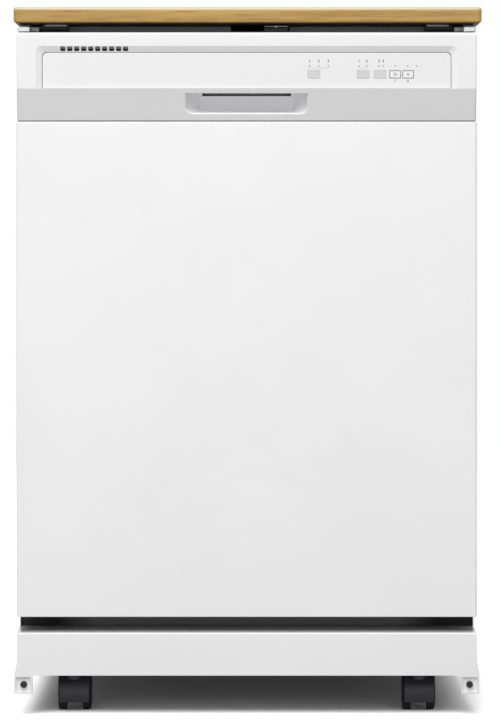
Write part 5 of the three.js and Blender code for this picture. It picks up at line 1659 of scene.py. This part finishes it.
# ---------- inside of the door ----------
def make_liner():
    """A flat plate with a raised, hollow field, pressed grooves and the dispenser's window."""
    field_half, field_low, field_high = tub_inner - 0.01, tub_floor + 0.01, tub_ceiling - 0.01
    low, high, face_y = liner_low, liner_high, liner_high.y
    plate = rounded_box("liner_plate", low, (high.x, door_back_y, high.z), 1, 0.006, 3)

    def pan(name, grow, back, front):
        return rounded_box(name, (-field_half - grow, back, field_low - grow),
                           (field_half + grow, front, field_high + grow), 1, 0.028 + grow, 6)

    unite(plate, round_edges(pan("field", 0, low.y, face_y), level(1, face_y), 0.005))
    carve(plate, pan("hollow", -0.003, low.y - 0.005, face_y - 0.003))
    housing_low, housing_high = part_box("dispenser_housing")
    rim = 0.0047
    tools = [block("window", (housing_low.x + rim, low.y - beyond, housing_low.z + rim),
                   (housing_high.x - rim, face_y + beyond, housing_high.z - rim))]
    for side in (-1, 1):
        left, right = on_side(side, 0.281, half_width + lap)
        tools.append(block("notch", (left, low.y - beyond, low.z - beyond),
                           (right, door_back_y + lap, low.z + 0.0405)))
    carve(plate, *tools)
    groove_y, grooves = face_y - 0.0018, []
    for start, way in ((field_low, 1), (field_high, -1)):
        for reach in (0.045, 0.085, 0.125):
            z = start + way * reach
            groove = rounded_box("groove", (-0.2, groove_y, z - 0.006), (0.2, face_y + beyond, z + 0.006),
                                 1, 0.0058, 5)
            grooves.append(round_edges(groove, level(1, groove_y), 0.0014, 2))
    carve(plate, *grooves)
    fit_out(soften(plate, 0.0006, 2, 55), "door", tub_resin, "door_liner")


def make_dispenser():
    keep_form("dispenser_housing", "door", grey_case, 0.0012, 3)
    lid = from_frame("dispenser_lid", 0.0006)
    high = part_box("dispenser_lid")[1]
    ridges = [block("ridge", (-0.062, high.y - 0.0052, high.z - z),
                    (-0.034, high.y - 0.0041, high.z - z + 0.0016)) for z in (0.012, 0.0165, 0.021)]
    fit_out(together("dispenser_lid_shown", lid, *ridges), "dispenser_lid", white_case, "dispenser_lid")
    keep_form("rinse_aid_cap", "rinse_aid_cap", black_case, 0.0006)


def make_board():
    """The circuit board and four of its components, each with its place, width, height and depth."""
    low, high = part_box("control_board")
    face = high.y - 0.0016
    board = rounded_box("board_sheet", (low.x, face, low.z), high, 1, 0.002, 3)
    fit_out(soften(board, 0.0002, 1), "door", board_green, "control_board")
    chips = []
    for x, z, width, height, depth in (
            (0.02, 0.018, 0.022, 0.014, 0.003), (0.06, 0.02, 0.012, 0.012, 0.0025),
            (0.1, 0.016, 0.018, 0.012, 0.004), (0.14, 0.02, 0.02, 0.02, 0.0035)):
        x, z = low.x + x, low.z + z
        chip = block("chip", (x - width / 2, face - depth, z - height / 2),
                     (x + width / 2, face + 0.0002, z + height / 2))
        chips.append(soften(chip, 0.0003, 1))
    fit_out(together("board_parts", *chips), "door", black_case)


# ---------- making it ----------
for make in (make_worktop, make_rail, make_worktop_clips, make_end_caps, make_strike, make_console,
             make_seams, make_fascia, make_vents, make_keys, make_marks, make_latch_handle,
             make_door_panel, make_toe_panel, make_toe_screws, make_gap_strip):
    make()
for corner in ("front_left", "front_right", "rear_left", "rear_right"):
    make_caster(corner)
for make in (make_side_panels, make_rear_panel, make_storage_box, make_glands, make_tub, make_seal):
    make()
keep_form("sump", "cabinet", black_case, 0.0015)
for make in (make_filter, make_filter_cup, make_float, make_heater):
    make()
make_spray_arm("lower_arm", "lower_spray_arm", root=0.026, tip=0.015, hub=0.022, bore=0.0116)
make_spray_arm("upper_arm", "upper_spray_arm", root=0.022, tip=0.013, hub=0, bore=0.0086)
make_motor_and_pump()
keep_form("water_feed_tube", "cabinet", grey_case, 0.0025, 3)
keep_form("base_frame", "cabinet", black_paint, 0.0008)
keep_form("hinge_crossmember", "cabinet", black_paint, 0.0006)
keep_form("hinge_arm_left", "door", zinc_plate, 0.0004)
keep_form("hinge_arm_right", "door", zinc_plate, 0.0004)
for make in (make_springs, make_counterweight, make_lower_rack, make_rack_wheels, make_upper_rack,
             make_upper_rails, make_basket, make_liner, make_dispenser):
    make()
keep_form("latch_body", "door", black_case, 0.0006)
make_board()


# ---------- camera, floor and light ----------
def place_in_scene(name, data, place, angles):
    """Puts a camera or a light in the scene."""
    made = bpy.data.objects.new(name, data)
    bpy.context.scene.collection.objects.link(made)
    made.location = place
    made.rotation_euler = angles
    return made


camera_data = bpy.data.cameras.new("camera")
camera_data.lens = 156.8
camera_data.sensor_width = 36
camera_data.shift_y = -0.1995
camera = place_in_scene("camera", camera_data, (0.0044, door_face_y - 4.2, 0.6601), (pi / 2, 0, 0))
bpy.context.scene.camera = camera

only()
bpy.ops.mesh.primitive_plane_add(size=8)
floor = bpy.context.active_object
floor.name = "studio_floor"
floor_finish = bpy.data.materials.new("studio_floor")
floor_finish.use_nodes = True
tree = floor_finish.node_tree
shader = tree.nodes["Principled BSDF"]
shader.inputs["Roughness"].default_value = 0.9
shader.inputs["Specular IOR Level"].default_value = 0.0
seen = add_node(tree, "LightPath").outputs["Is Camera Ray"]
tint = add_node(tree, "MixRGB", {"Fac": seen, "Color1": (0.7, 0.7, 0.7, 1), "Color2": (2.45, 2.45, 2.45, 1)})
tree.links.new(tint.outputs["Color"], shader.inputs["Base Color"])
floor.data.materials.append(floor_finish)

# The world is white to the camera and in reflections. As a light it fades towards both sides.
world = bpy.data.worlds.new("studio")
bpy.context.scene.world = world
world.use_nodes = True
tree = world.node_tree
rays = add_node(tree, "LightPath").outputs
sees = rays["Is Camera Ray"]
for kind in ("Is Glossy Ray", "Is Transmission Ray"):
    sees = add_node(tree, "Math", {0: sees, 1: rays[kind]}, operation="MAXIMUM").outputs[0]
way = add_node(tree, "SeparateXYZ", {"Vector": add_node(tree, "TexCoord").outputs["Generated"]})
aside = add_node(tree, "Math", {0: way.outputs["X"]}, operation="ABSOLUTE").outputs[0]
fall = add_node(tree, "MapRange", {"Value": aside, "From Min": 0.3, "From Max": 0.8,
                                   "To Min": 0.62, "To Max": 0.03}).outputs["Result"]
strength = add_node(tree, "MapRange", {"Value": sees, "To Min": fall, "To Max": 1.0})
background = tree.nodes["Background"]
background.inputs["Color"].default_value = (1, 1, 1, 1)
tree.links.new(strength.outputs["Result"], background.inputs["Strength"])

lamp_data = bpy.data.lights.new("softbox", "AREA")
lamp_data.shape = "RECTANGLE"
lamp_data.size = 2.6
lamp_data.size_y = 2.0
lamp_data.energy = 85
lamp_place = Vector((-0.5, -2.6, 3.1))
aim = (Vector((0, 0, 0.5)) - lamp_place).to_track_quat("-Z", "Y").to_euler()
place_in_scene("softbox", lamp_data, lamp_place, aim)

bpy.context.scene.view_settings.view_transform = "Standard"
